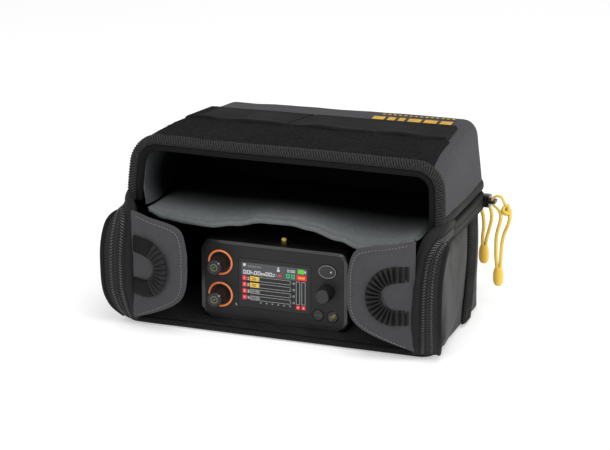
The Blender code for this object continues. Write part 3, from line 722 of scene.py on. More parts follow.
def build_zip(side, sign):
    frames = tape_frames(sign)
    tape_section = [(0.0, 0.5, 0.6), (0.12, 0, 0.9), (0.3, 0, 1.3), (0.5, 0, 1.5), (0.7, 0, 1.3),
                    (0.88, 0, 0.9),
                    (1.0, -0.6, 0.5), (1.0, 0.2, -1.2), (0.5, 0, -1.6), (0.0, 0.2, -1.4), (0.0, 0.5, 0.6)]
    tape = join("zip_tape_cloth_" + side, [strip(frames, tape_section)], "tape", angle=60)
    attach(tape, "bag")
    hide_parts("zip_tape_" + side)

    welt_path = [b + across * 0.6 * MM - out * 0.4 * MM for _, b, _, across, out, _ in frames]
    front_count = sum(1 for f in frames if f[5] < FRONT_RUN)
    welt = join("zip_welt_" + side, [tube(welt_path, WELT_RADIUS, 10)], "black")
    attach(welt, "bag")

    # smooth binding beside the wing, fading out as the tape turns to the side
    rows = []
    profile = ((-8.5, -2.5), (-8.6, 0.3), (-7.2, 2.6), (-4.5, 3.6), (-1.5, 3.6), (1.0, 2.6), (2.2, 0.8),
               (2.2, -1.0))
    for i in range(front_count):
        a, _, _, across, out, run = frames[i]
        fade = min(1.0, 0.35 + run / 0.018, 0.25 + (FRONT_RUN - run) / 0.03)
        puff = 1 + 0.06 * math.sin(run * 190)
        rows.append([a + across * (u * fade) * MM + out * (h * (fade if h > 0 else 1) * puff) * MM
                     for u, h in profile])
    binding = join("wing_binding_" + side, [lattice(rows, caps=True)], "smooth_black", angle=70)
    subdivide(binding)
    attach(binding, "bag")

    build_teeth(side, frames)
    build_closed_zip(side, frames, front_count)


def build_teeth(side, frames):
    """Two rows of nylon coil teeth, and a row of fine stitches between them."""
    bright, dim = [], []
    run, k = 0.004, 0
    while run < FRONT_RUN + 0.012:
        while k < len(frames) - 2 and frames[k + 1][5] < run:
            k += 1
        t = (run - frames[k][5]) / (frames[k + 1][5] - frames[k][5])
        a = frames[k][0].lerp(frames[k + 1][0], t)
        b = frames[k][1].lerp(frames[k + 1][1], t)
        along, across, out = frames[k][2], frames[k][3], frames[k][4]
        if a.y > TEETH_END_Y:
            break
        width = (b - a).length
        turned = clamp((run - 0.085) / 0.03)
        slant = along * 0.8 * MM
        near = a + across * width * (0.20 - 0.05 * turned)
        reach = across * (2.6 + 3.6 * turned) * MM
        rise = out * 1.5 * MM
        bright.append(capsule(near + rise - slant, near + reach + rise * 1.1 + slant, 0.62 * MM))
        if run < 0.112:
            far = a + across * width * 0.62
            dim.append(capsule(far + rise * 0.9 + slant, far + across * 2.2 * MM + rise * 0.8 - slant,
                               0.62 * MM))
        half_step = a + across * width * 0.50 + along * TOOTH_PITCH / 2
        if run < 0.105:
            dim.append(capsule(half_step + rise, half_step + rise + along * 0.9 * MM, 0.32 * MM, 5))
        run += TOOTH_PITCH
    teeth = join("zip_teeth_" + side, bright + dim, "teeth")
    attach(teeth, "bag")


def build_closed_zip(side, frames, front_count):
    """The closed run of the zip along the side: a smooth cover with a raised ridge."""
    start = front_count - 8
    section = ((0.02, 1.0), (0.10, 2.0), (0.32, 2.3), (0.40, 1.6), (0.48, 2.6), (0.58, 2.7), (0.66, 1.6),
               (0.76, 2.1), (0.94, 1.7), (1.0, 0.8))
    rows = []
    for i in range(start, len(frames)):
        a, b, _, across, out, _ = frames[i]
        width = (b - a).length
        grow = min(1.0, (i - start) / 14)
        rows.append([a + across * width * share + out * (0.9 + (rise - 0.9) * grow) * MM
                     for share, rise in section])
    cover = join("zip_cover_" + side, [lattice(rows)], "smooth_black", angle=50)
    subdivide(cover)
    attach(cover, "bag")


# ---------------------------------------------------------------- padded pieces

def simulate(obj, pressure, cap, axis, frames=20):
    """Inflates a closed pad with cloth. Points move only through its thickness, and at most as far as cap."""
    scene = bpy.context.scene
    rest = [v.co.copy() for v in obj.data.vertices]
    cloth = add_modifier(obj, "CLOTH")
    cloth.settings.use_pressure = True
    cloth.settings.uniform_pressure_force = pressure
    cloth.settings.effector_weights.gravity = 0.0
    cloth.settings.tension_stiffness = 25
    cloth.settings.compression_stiffness = 25
    cloth.settings.bending_stiffness = 2.0
    cloth.settings.quality = 6
    cloth.collision_settings.use_collision = False
    for number in range(1, frames + 1):
        scene.frame_set(number)
    graph = bpy.context.evaluated_depsgraph_get()
    moved = [v.co.copy() for v in obj.evaluated_get(graph).data.vertices]
    obj.modifiers.clear()
    scene.frame_set(1)
    for vertex, start, end in zip(obj.data.vertices, rest, moved):
        vertex.co[axis] = start[axis] + max(-cap, min(cap, end[axis] - start[axis]))
    obj.data.shade_smooth()


def slab(outline, half_thickness, place):
    """A closed pad with rounded edges from (u, v) points. place turns (u, v, depth) into a point."""
    centre = Vector((sum(p[0] for p in outline) / len(outline), sum(p[1] for p in outline) / len(outline)))
    outline = [Vector(p) for p in outline]
    shares = [0.04, 0.12, 0.22, 0.33, 0.44, 0.55, 0.65, 0.74, 0.82, 0.89, 0.94, 0.975, 0.994]
    rows = []
    for share in shares:
        depth = half_thickness * (1 - share**8) ** 0.5
        rows.append([place(centre.x + (p.x - centre.x) * share, centre.y + (p.y - centre.y) * share, depth)
                     for p in outline])
    rows.append([place(p.x, p.y, 0.0) for p in outline])
    for share in reversed(shares):
        depth = half_thickness * (1 - share**8) ** 0.5
        rows.append([place(centre.x + (p.x - centre.x) * share, centre.y + (p.y - centre.y) * share, -depth)
                     for p in outline])
    return lattice(rows, closed_v=True, caps=True)


def deform(obj, shape):
    for vertex in obj.data.vertices:
        vertex.co = shape(vertex.co.copy())
    obj.data.update()


# ---------------------------------------------------------------- wings

WING_HINGE = Vector((127.5, -81.5, 0.0)) * MM
WING_TIP = Vector((73.0, -95.5, 0.0)) * MM
WING_EDGE = ((20.0, 102.5), (40.0, 100.0), (51.5, 95.0), (56.5, 80.0), (57.5, 60.0), (56.0, 42.0),
             (48.0, 30.0),
             (25.0, 17.5))


def wing_frame(sign):
    """Matrix from (along the wing from its hinge, out of its front face, up) to world."""
    along = (WING_TIP - WING_HINGE).normalized()
    along = Vector((along.x * sign, along.y, 0.0))
    out = Vector((along.y, -along.x, 0.0)) * sign
    if out.y > 0:
        out = -out
    made = Matrix.Identity(4)
    for column, vector in enumerate((along, out, Vector((0, 0, 1)), mirrored(WING_HINGE, sign))):
        for row in range(3):
            made[row][column] = vector[row]
    return made


def wing_outline():
    edge = smooth_path([(u, v, 0) for u, v in ((1.0, 106.0),) + WING_EDGE + ((1.0, 8.0),)], 6)
    outline, _ = resample([p * MM for p in edge], 3.0 * MM)
    back = [Vector((0.0010, 0.106 - 0.098 * i / 20, 0)) for i in range(20, 0, -1)]
    return [(p.x, p.y) for p in outline + back[1:]]


def wing_bow(p, sign):
    """How far the wing's middle surface stands out of its plane: a soft lift, a curled edge and creases."""
    u, z = p.x, p.z
    lift = 2.6 * MM * math.sin(math.pi * clamp(u / 0.058)) * math.sin(math.pi * (z - 0.006) / 0.1)
    curl = -2.0 * MM * max(0.0, (u - 0.036) / 0.02) ** 2
    near_crease = math.exp(-((z - 0.071) / 0.010) ** 2)
    crease = 0.45 * MM * math.sin((z - 0.068) * 420 + u * 40) * near_crease * (u / 0.058)
    fold = wobble((u, z, 0.3 * sign), 38, 1.1 * MM, 3.0)
    return lift + curl + crease + fold


def build_wing(side, sign):
    frame_matrix = wing_frame(sign)
    outline = wing_outline()
    plate = join("wing_pad_" + side, [slab(outline, 1.7 * MM, lambda u, v, d: Vector((u, d, v)))], "wing",
                 180)
    simulate(plate, 3.0, 1.0 * MM, 1)
    deform(plate, lambda p: p + Vector((0, wing_bow(p, sign), 0)))
    subdivide(plate)
    plate.data.transform(frame_matrix)
    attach(plate, "wing_" + side)
    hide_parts("wing_" + side)

    front = [p for p in wing_outline() if p[0] > 0.004]
    stitches, edge_path = [], []
    for u, v in front:
        p = Vector((u, 0, v))
        inward = (Vector((0.026, 0, 0.056)) - p).normalized() * 3.2 * MM
        q = p + inward
        face = 3.3 * MM + wing_bow(q, sign)
        edge_path.append(frame_matrix @ (q + Vector((0, face, 0))))
    for a, b in zip(edge_path, edge_path[1:]):
        stitches.append(capsule(a, a.lerp(b, 0.52), 0.34 * MM, 5))
    seam = join("wing_stitches_" + side, stitches, "thread")
    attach(seam, "wing_" + side)
    build_wing_loop(side, sign, frame_matrix)


def build_wing_loop(side, sign, frame_matrix):
    """A pleated band of webbing sewn to the wing as a U on its side, its ends pressed flat."""
    arm = [6.0 + 1.2 * i for i in range(10)]
    outer, inner = [(u, 84.3) for u in arm], [(u, 70.4) for u in arm]
    for i in range(0, 61):
        turn = math.radians(86 - 172 * i / 60)
        outer.append((17.5 + 24.5 * math.cos(turn), 58.5 + 25.5 * math.sin(turn)))
        inner.append((17.5 + 12.5 * math.cos(turn), 58.5 + 11.5 * math.sin(turn)))
    outer += [(u, 32.7) for u in reversed(arm)]
    inner += [(u, 46.7) for u in reversed(arm)]
    rows = []
    count = 9
    for i, (o, n) in enumerate(zip(outer, inner)):
        share = i / (len(outer) - 1)
        bend = math.exp(-((share - 0.5) / (0.50 if sign > 0 else 0.28)) ** 6)
        ridge = 1.5 * bend * (math.cos(i * 2 * math.pi / 4.0) - 0.5)
        row = []
        for k in range(count + 1):
            t = k / count
            u = (o[0] + (n[0] - o[0]) * t) * MM
            v = (o[1] + (n[1] - o[1]) * t) * MM
            crown = 1 - (2 * t - 1) ** 4
            rise = 3.2 + 1.3 * crown + ridge * crown**0.5
            rise = rise * min(1.0, 0.70 + 0.030 * (o[0] - 6.0)) + 1.6 * math.sin(math.pi * share) ** 2
            q = Vector((u, 0, v))
            row.append(frame_matrix @ (q + Vector((0, rise * MM + wing_bow(q, sign), 0))))
        rows.append(row)
    loop = join("wing_webbing_" + side, [lattice(rows)], ("loop_web", "pleat"), angle=60)
    # Crest faces of the pleats take the lighter pleat material: painted highlight
    for polygon in loop.data.polygons:
        row = sum(k // (count + 1) for k in polygon.vertices) / 4
        share = row / (len(rows) - 1)
        if (row + 0.5) % 4 < 2 and abs(share - 0.5) < (0.5 if sign > 0 else 0.26):
            polygon.material_index = 1
    add_modifier(loop, "SOLIDIFY", thickness=1.5 * MM, offset=-1.0 if sign > 0 else 1.0)
    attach(loop, "wing_" + side)
    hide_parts("wing_loop_" + side)


# ---------------------------------------------------------------- side trim

def build_side_trim(side, sign):
    face = HALF_WIDTH + 0.4 * MM
    heights = [91 - 83 * i / 22 for i in range(23)]
    front = [(table(FRONT_EDGE_Y, z) * MM + 9 * MM, z * MM) for z in heights]
    outline = [(0.0125, 0.0895), (0.006, 0.0925), (-0.030, 0.0925)] + front + [(-0.048, 0.0050)]
    outline += [(-0.030, 0.0065), (-0.013, 0.017), (0.001, 0.033), (0.0095, 0.052), (0.0130, 0.072)]
    loop, _ = resample([Vector((y, z, 0)) for y, z in outline + outline[:1]], 3.2 * MM)
    loop = [(p.x, p.y) for p in loop[:-1]]
    pad = join("side_cushion_" + side,
               [slab(loop, 1.7 * MM, lambda u, v, d: Vector((face + 1.5 * MM + d, u, v)))],
               "cushion", 180)
    simulate(pad, 4.0, 2.2 * MM, 0)

    def shape(p):
        rise = p.x - HALF_WIDTH + wobble(p, 45, 0.5 * MM)
        return Vector(((side_surface(p.y, p.z) + rise) * sign, p.y, p.z))

    deform(pad, shape)
    subdivide(pad)
    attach(pad, "bag")
    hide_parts("side_pad_" + side)

    middle = smooth_path([(35.5, 93.5, 0), (33.0, 70.0, 0), (30.0, 48.0, 0), (26.0, 26.0, 0),
                          (21.5, 3.0, 0)], 16)
    line, _ = resample([p * MM for p in middle], 0.5 * MM)
    rows = []
    for i, p in enumerate(line):
        rib = 0.5 - 0.5 * math.cos(2 * math.pi * i * 0.5 / 2.2)
        row = []
        for k in range(13):
            t = 2 * k / 12 - 1
            crown = 1 - abs(t) ** 6
            rise = 0.2 + 1.6 * crown + 0.45 * rib * crown
            belly = 0.0014 * math.sin(math.pi * p.y / 0.1)
            row.append(Vector(((face + belly + rise * MM) * sign, p.x + t * 12.2 * MM, p.y)))
        rows.append(row)
    strap = join("side_webbing_" + side, [lattice(rows)], "web_z", angle=180)
    add_modifier(strap, "SOLIDIFY", thickness=0.9 * MM, offset=1.0 if sign > 0 else -1.0)
    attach(strap, "bag")
    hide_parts("side_strap_" + side)


# ---------------------------------------------------------------- hood

SLUMP_FOOT = 114 * MM


def slump(p):
    """How the unstiffened hood draws in towards its top, more at the rear and more on the left."""
    rise = clamp((p.z - SLUMP_FOOT) / (TOP_Z - SLUMP_FOOT))
    rise = rise * rise * (3 - 2 * rise) * 0.5 + rise * 0.5
    depth = clamp((p.y - HOOD_FRONT_Y) / (HOOD_REAR_Y - HOOD_FRONT_Y))
    pull = (0.0050 + 0.0420 * depth) if p.x < 0 else (0.0010 + 0.0040 * depth)
    share = min(1.0, abs(p.x) / HOOD[1].x)
    lift = rise * depth**0.8 * (0.0058 + 0.0026 * p.x / HOOD[1].x)
    return Vector((p.x * (1 - pull * share**0.5 * rise / HOOD[1].x), p.y, p.z + lift))


def hood_edge(y):
    """Radius of the hood's long edges: wide at the rim, closer further back."""
    share = clamp((y - HOOD_FRONT_Y) / 0.045)
    return ARCH_RADIUS + (HOOD_EDGE - ARCH_RADIUS) * share * share * (3 - 2 * share)


def soft_box(half_x, front, rear, bottom, top, radius, step):
    """(points, faces) of a box without its front and bottom, its other edges rounded."""
    def lines(low, high):
        count = max(2, round((high - low) / step))
        return [low + (high - low) * i / count for i in range(count + 1)]
    xs, ys, zs = lines(-half_x, half_x), lines(front, rear), lines(bottom, top)
    parts = [
        [[Vector((x, y, top)) for y in ys] for x in xs],
        [[Vector((x, rear, z)) for z in zs] for x in xs],
        [[Vector((half_x, y, z)) for z in zs] for y in ys],
        [[Vector((-half_x, y, z)) for z in zs] for y in ys],
    ]
    pieces = []
    for rows in parts:
        rounded = []
        for row in rows:
            new_row = []
            for p in row:
                r = radius(p.y)
                q = Vector((max(-half_x + r, min(half_x - r, p.x)), min(p.y, rear - r), min(p.z, top - r)))
                new_row.append(q + (p - q).normalized() * r)
            rounded.append(new_row)
        pieces.append(lattice(rounded))
    return pieces


def build_hood():
    half = HOOD[1].x
    pieces = soft_box(half, HOOD_FRONT_Y - 1 * MM, HOOD_REAR_Y, HOOD_BOTTOM, TOP_Z, hood_edge, 3 * MM)
    shell = join("hood_shell", pieces, ("shell", "dark_lining"), angle=180)
    bm = bmesh.new()
    bm.from_mesh(shell.data)
    bmesh.ops.remove_doubles(bm, verts=bm.verts, dist=0.2 * MM)
    bmesh.ops.recalc_face_normals(bm, faces=bm.faces)
    bm.normal_update()
    for vertex in bm.verts:
        p = vertex.co.copy()
        soft = wobble(p, 20, 0.9 * MM, 9.0) + wobble(p, 70, 0.25 * MM, 2.0)
        middle = math.sin(math.pi * (p.y - HOOD_FRONT_Y) / (HOOD_REAR_Y - HOOD_FRONT_Y))
        swell = 1.2 * MM * max(0.0, middle) if abs(vertex.normal.x) > 0.7 else 0.0
        outwards = Vector((p.x, max(0.0, p.y), p.z - 0.12)).dot(vertex.normal)
        vertex.co += vertex.normal * (soft + swell) * (1 if outwards > 0 else -1)
    bm.to_mesh(shell.data)
    bm.free()
    deform(shell, slump)
    face_outwards(shell)
    subdivide(shell)
    # The inner side and the rim take the near-black lining: painted shade inside the hood
    add_modifier(shell, "SOLIDIFY", thickness=3.6 * MM, offset=-1.0, material_offset=1, material_offset_rim=1)
    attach(shell, "hood")
    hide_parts("hood_wall", "hood_top_panel")


def hood_arch(spacing):
    """The hood's front rim, from its right foot over the top to its left foot, with the way out of it."""
    half, top, radius = HOOD[1].x + 0.6 * MM, TOP_Z + 0.3 * MM, ARCH_RADIUS
    path = [Vector((half, 0, HOOD_BOTTOM - 2.5 * MM + (top - radius - HOOD_BOTTOM + 2.5 * MM) * i / 12))
            for i in range(12)]
    path += [Vector((half - radius + radius * math.cos(math.radians(a)), 0,
                     top - radius + radius * math.sin(math.radians(a)))) for a in range(0, 91, 5)]
    count = 40
    path += [Vector((half - radius - (half - radius) * i / count, 0, top)) for i in range(1, count + 1)]
    path += [Vector((-p.x, 0, p.z)) for p in reversed(path[:-1])]
    points, length = resample(path, spacing)
    outs = []
    for i, p in enumerate(points):
        along = (points[min(i + 1, len(points) - 1)] - points[max(i - 1, 0)]).normalized()
        outs.append(Vector((along.z, 0, -along.x)))
    return points, outs, length


# Section of the rim's binding: out from the rim, forward of it, and how much of the ribs it carries
RIM_SECTION = (
    (0.2, -4.8, 0.0), (1.0, -4.0, 0.5), (1.5, -2.4, 1.0), (1.6, -0.4, 1.0), (1.3, 1.2, 1.0), (0.5, 2.4, 1.0),
    (-0.7, 3.1, 1.0), (-2.2, 3.4, 1.0), (-3.6, 3.1, 1.0), (-4.7, 2.4, 0.8), (-5.4, 1.6, 0.2), (-5.8, 0.9,
                                                                                               0.0),
    (-6.4, 1.6, 0.0), (-7.4, 2.1, 0.0), (-8.8, 2.0, 0.0), (-10.0, 1.5, 0.0), (-11.0, 0.4, 0.0), (-11.4, -1.2,
                                                                                                 0.0),
    (-11.0, -3.0, 0.0), (-10.0, -7.0, 0.0), (-7.5, -12.0, 0.0), (-3.8, -17.0, 0.0),
)
RIBBED_ROWS = 11
RIM_STEP = 0.36 * MM
RIB_PITCH = 2.4
RIB_SLANT = 0.62


def rib_wave(run, k):
    """Height of the slanting ribs, from -1 to 1, at a run in metres along the rim and k rows across it."""
    return math.sin(2 * math.pi * (run / MM + RIB_SLANT * k) / RIB_PITCH)


def rim_rows(first, last):
    """Rows of points along the hood's rim, leaning back at its middle, for part of its section."""
    points, outs, length = hood_arch(RIM_STEP)
    rows = []
    for i, (p, out) in enumerate(zip(points, outs)):
        run = length * i / (len(points) - 1)
        lean = -1.8 * MM * math.cos(math.pi * p.x / 2 / 0.14) ** 2
        sag = 0.9 * MM * math.sin(p.x * 23.0 + 0.6) * math.cos(math.pi * p.x / 0.30)
        row = []
        for k in range(first, last):
            u, f, share = RIM_SECTION[k]
            rib = 0.45 * share * rib_wave(run, k)
            u += rib
            f += rib
            row.append(slump(Vector((p.x, HOOD_FRONT_Y - f * MM + lean, p.z)) + out * (u * MM + sag * 0.6)))
        rows.append(row)
    return rows


def paint_crest_highlights(rim, count, width):
    """Painted highlight on the raised side of each slanting rib: those faces take the lighter rib material.
    """
    length = hood_arch(RIM_STEP)[2]
    for n, polygon in enumerate(rim.data.polygons):
        i, k = divmod(n, width - 1)
        run = length * (i + 0.5) / (count - 1)
        if rib_wave(run, k + 0.5) > 0.15 and k > 0:
            polygon.material_index = 1


def build_hood_binding():
    for name, first, last in (("hood_rim", 0, RIBBED_ROWS + 1),
                              ("hood_rim_inside", RIBBED_ROWS, len(RIM_SECTION))):
        rows = rim_rows(first, last)
        rim = join(name, [lattice(rows)], ("edge_cloth", "rib"), angle=60)
        if name == "hood_rim":
            # Lighter crest faces: painted highlight on the ribs
            paint_crest_highlights(rim, len(rows), last - first)
        add_modifier(rim, "SOLIDIFY", thickness=0.8 * MM, offset=0.0)
        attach(rim, "hood")
        if name == "hood_rim":
            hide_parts("hood_binding")


def build_hem(side, sign):
    """The rolled black hem along the hood's foot, above the zip."""
    start, end = -0.050, HOOD_REAR_Y - CORNER
    path = [Vector((HALF_WIDTH, start + (end - start) * i / 30, 0)) for i in range(31)]
    path += [Vector((HALF_WIDTH - CORNER + CORNER * math.cos(math.radians(a)),
                     end + CORNER * math.sin(math.radians(a)), 0)) for a in range(5, 76, 5)]
    profile = ((-1.0, 108.0), (1.3, 107.4), (2.4, 108.6), (2.7, 111.0), (2.4, 113.8), (1.4, 115.8),
               (-0.4, 116.4))
    rows = []
    for i, p in enumerate(path):
        after = path[min(i + 1, len(path) - 1)] - path[max(i - 1, 0)]
        out = Vector((after.y, -after.x, 0)).normalized()
        fade = min(1.0, (len(path) - 1 - i) / 5)
        rows.append([Vector(((p.x + out.x * u * MM * fade) * sign, p.y + out.y * u * MM * fade,
                             z * MM + wobble(p, 50, 0.5 * MM))) for u, z in profile])
    hem = join("hood_roll_" + side, [lattice(rows)], "smooth_black", angle=180)
    subdivide(hem)
    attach(hem, "hood")
    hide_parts("hood_hem_" + side)


def flat_band(name, low, high, top, thickness, step, lift, material):
    """A thin panel lying on the hood's top, its upper side shaped by lift(x, y)."""
    nx, ny = round((high[0] - low[0]) / step), round((high[1] - low[1]) / step)
    rows = []
    for i in range(nx + 1):
        x = low[0] + (high[0] - low[0]) * i / nx
        row = []
        for j in range(ny + 1):
            y = low[1] + (high[1] - low[1]) * j / ny
            edge = min(x - low[0], high[0] - x, y - low[1], high[1] - y) / (1.6 * MM)
            round_off = thickness * (1 - max(0.0, 1 - edge)) ** 0.5 if edge < 1 else thickness
            row.append(Vector((x, y, top - top_drop(x, y) + round_off + (lift(x, y) if edge > 0.3 else 0.0))))
        rows.append(row)
    return join(name, [lattice(rows)], material, angle=180)


def top_drop(x, y):
    """How far the top's surface has fallen from its flat middle at one place, before the slump."""
    radius = hood_edge(y)
    over = max(0.0, abs(x) - (HOOD[1].x - radius))
    return radius - math.sqrt(max(0.0, radius**2 - over**2))


def build_top():
    pile = flat_band("top_loop_pile", (-0.1335, -0.0535), (0.1310, 0.0050), TOP_Z + 0.1 * MM, 1.9 * MM,
                     1.0 * MM,
                     lambda x, y: wobble((x, y, 0), 420, 0.75 * MM) + wobble((x, y, 1), 60, 0.7 * MM), "pile")
    deform(pile, slump)
    add_modifier(pile, "SOLIDIFY", thickness=1.2 * MM, offset=-1.0)
    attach(pile, "hood")
    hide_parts("top_loop_panel")

    def strap_lift(x, y):
        rib = 0.30 * math.sin(2 * math.pi * x / (1.9 * MM)) if x > 0.108 or x < -0.116 else 0.0
        bow = 0.6 * math.sin(x * 95) * math.cos((y - 0.004) * 45)
        front = 1.3 * max(0.0, 1 - (y - 0.0036) / 0.006) * (0.5 + 0.5 * math.sin(x * 160))
        fold = -1.0 * math.exp(-((x + 0.012 - (y - 0.02) * 0.6) / 0.0012) ** 2)
        return (rib + bow + front + fold + 0.3) * MM
    strap = flat_band("top_strap", (-0.1345, 0.0036), (0.1290, 0.0380), TOP_Z + 0.5 * MM, 2.6 * MM, 0.95 * MM,
                      strap_lift, "web_x")
    deform(strap, slump)
    add_modifier(strap, "SOLIDIFY", thickness=1.4 * MM, offset=-1.0)
    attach(strap, "hood")
    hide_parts("top_webbing")

    stitches = []
    for y in (0.0066, 0.0352):
        for i in range(88):
            x = -0.130 + 0.256 * i / 87
            z = TOP_Z + 3.2 * MM + strap_lift(x, y) - top_drop(x, y)
            a, b = (slump(Vector((x + shift, y, z))) for shift in (0.0, 1.9 * MM))
            stitches.append(capsule(a, b, 0.22 * MM, 5))
    thread = join("top_stitches", stitches, "dark_thread")
    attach(thread, "hood")
    build_print()


# Plain yellow bars on the top: left, right, near and far edge, in millimetres on the flat cloth
LARGE_BARS = ((47, 58), (61, 68), (71, 77), (80, 92), (95, 107), (110, 121))
SMALL_BARS = 14


def build_print():
    bars = [print_bar(x0, x1, 44.2, 52.4) for x0, x1 in LARGE_BARS]
    for i in range(SMALL_BARS):
        bars.append(print_bar(53 + i * 5.0, 55.6 + i * 5.0, 58.0, 60.2))
    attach(join("top_print", bars, "print"), "hood")


def print_bar(x0, x1, y0, y1):
    rows = []
    for i in range(7):
        x = (x0 + (x1 - x0) * i / 6) * MM
        places = [Vector((x, (y0 + (y1 - y0) * j / 2) * MM, 0)) for j in range(3)]
        rows.append([slump(p + Vector((0, 0, TOP_Z + 0.9 * MM - top_drop(x, p.y)))) for p in places])
    return lattice(rows)


def build_hinge():
    """The fabric across the back where the hood hinges, built in its closed shape."""
    rows = []
    for i in range(61):
        x = -0.0975 + 0.195 * i / 60
        row = []
        for j in range(9):
            t = j / 8
            z = 0.0985 + 0.0155 * t
            bulge = math.cos(math.pi * x / 2 / HALF_WIDTH)
            y = REAR_Y + 0.9 * MM + (HOOD_REAR_Y - REAR_Y) * t + 1.2 * MM * math.sin(math.pi * t)
            row.append(Vector((x, y + 0.0018 * bulge * (1 - t), z)))
        rows.append(row)
    hinge = join("hinge_fabric", [lattice(rows)], "shell", angle=180)
    subdivide(hinge)
    add_modifier(hinge, "SOLIDIFY", thickness=1.0 * MM, offset=0.0)
    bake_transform(hinge)


# ---------------------------------------------------------------- divider flap

FLAP_EDGE = ((-122, 103.5), (-105, 97.5), (-86, 95.5), (-63, 94.5), (-41, 98), (-18, 103.5), (9, 103.5),
             (27, 101),
             (53, 95), (71, 89), (97, 91), (122, 101))


def build_flap():
    """The grey padded flap over the recorder, with the welted seam along its front edge."""
    half_x = FLAP[1].x
    front, rear = FLAP[0].y, FLAP[1].y
    corners = [(half_x, rear), (-half_x, rear), (-half_x, front), (half_x, front), (half_x, rear)]
    loop, _ = resample([Vector((x, y, 0)) for x, y in corners], 5 * MM)
    middle = (FLAP[0].z + FLAP[1].z) / 2
    # The flap and its seam carry painted shade: grey fleece at the front edge, near-black further back
    flap = join("flap_pad", [slab([(p.x, p.y) for p in loop[:-1]], 2.6 * MM,
                                  lambda u, v, d: Vector((u, v, middle + d)))], "flap", 180)
    simulate(flap, 3.5, 2.4 * MM, 2)

    def shape(p):
        forward = clamp((0.020 - p.y) / 0.080)
        wave = (table(FLAP_EDGE, p.x / MM) * MM - 0.0985) * forward**1.3
        fold = wobble((p.x, p.y, 0), 20, 1.8 * MM, 7.0) * (0.35 + 0.65 * forward)
        return Vector((p.x, p.y, p.z + wave + fold))

    deform(flap, shape)
    subdivide(flap)
    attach(flap, "flap")
    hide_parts("divider_flap")

    line = []
    for i in range(121):
        x = -half_x + 3 * MM + (2 * half_x - 6 * MM) * i / 120
        line.append(shape(Vector((x, front + 0.6 * MM, middle - 0.3 * MM))))
    seam = join("flap_seam", [tube(line, 2.5 * MM, 12)], "flap")
    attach(seam, "flap")


def build_tab():
    """The end of the hood's grey lining at the upper left corner of the opening, crumpled at its foot."""
    rows = []
    for i in range(37):
        t = i / 36
        foot = max(0.0, 1 - t / 0.42) ** 1.4
        row = []
        for j in range(29):
            s = j / 28
            p = Vector((-0.1300 + 0.003 * s, -0.0500 + 0.085 * s, 0.1050 + 0.040 * t))
            p.x += (7.0 * foot * (1 - s) + 1.2 * math.sin(5.0 * s + 3.0 * t)) * MM
            p.y -= 7.5 * MM * foot * (1 - s) ** 2
            p.z -= 3.0 * MM * foot
            crease = math.sin(9.0 * s + 7.0 * t) * foot
            p += Vector((1.6 * crease, -1.2 * crease, 1.0 * math.cos(8.0 * s + 4.0 * t) * foot)) * MM
            row.append(slump(p))
        rows.append(row)
    # Its fleece carries painted shade, going to near-black deeper into the hood
    tab = join("lining_corner", [lattice(rows)], "corner_lining", angle=180)
    subdivide(tab)
    add_modifier(tab, "SOLIDIFY", thickness=1.4 * MM, offset=0.0)
    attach(tab, "hood")


# ---------------------------------------------------------------- zip pulls

SIDE_ROUTE = (
    (159.0, 64.0, 38.5), (159.2, 64.5, 46.0), (159.4, 65.0, 54.0), (160.0, 65.2, 62.0), (162.0, 65.0, 71.0),
    (165.5, 64.2, 80.0), (167.0, 63.2, 88.0), (165.2, 62.0, 94.0), (162.2, 61.2, 99.1), (159.7, 61.0, 104.0),
    (155.5, 61.0, 105.1), (151.9, 61.0, 102.6), (151.2, 61.0, 99.5), (152.7, 60.9, 96.3), (156.0, 60.5, 94.0),
    (159.2, 59.6, 90.0), (159.8, 58.8, 84.5), (158.0, 58.8, 77.0), (156.2, 60.0, 69.0), (155.6, 61.2, 60.0),
    (155.4, 62.5, 50.0), (155.8, 63.6, 43.0), (156.0, 64.0, 38.5),
)
REAR_ROUTE = (
    (139.5, 86.0, 50.0), (140.2, 86.2, 57.0), (142.0, 86.8, 65.0), (143.6, 87.8, 73.0), (143.2, 89.2, 80.5),
    (140.0, 91.2, 86.8), (135.0, 93.2, 91.5), (129.0, 94.3, 95.0), (125.0, 94.1, 99.1), (123.5, 92.3, 104.0),
    (123.0, 88.1, 105.1), (123.0, 84.5, 102.6), (123.0, 83.8, 99.5), (123.2, 85.3, 96.3), (124.5, 88.0, 94.0),
    (127.5, 89.5, 90.5), (131.5, 89.0, 86.5), (135.0, 87.2, 81.5), (137.2, 85.2, 75.5), (137.8, 84.5, 68.0),
    (137.0, 84.8, 60.0), (136.6, 85.6, 54.5), (136.5, 86.0, 50.0),
)
CORD_RADIUS = 1.6 * MM
CORD_EASE = 0.28


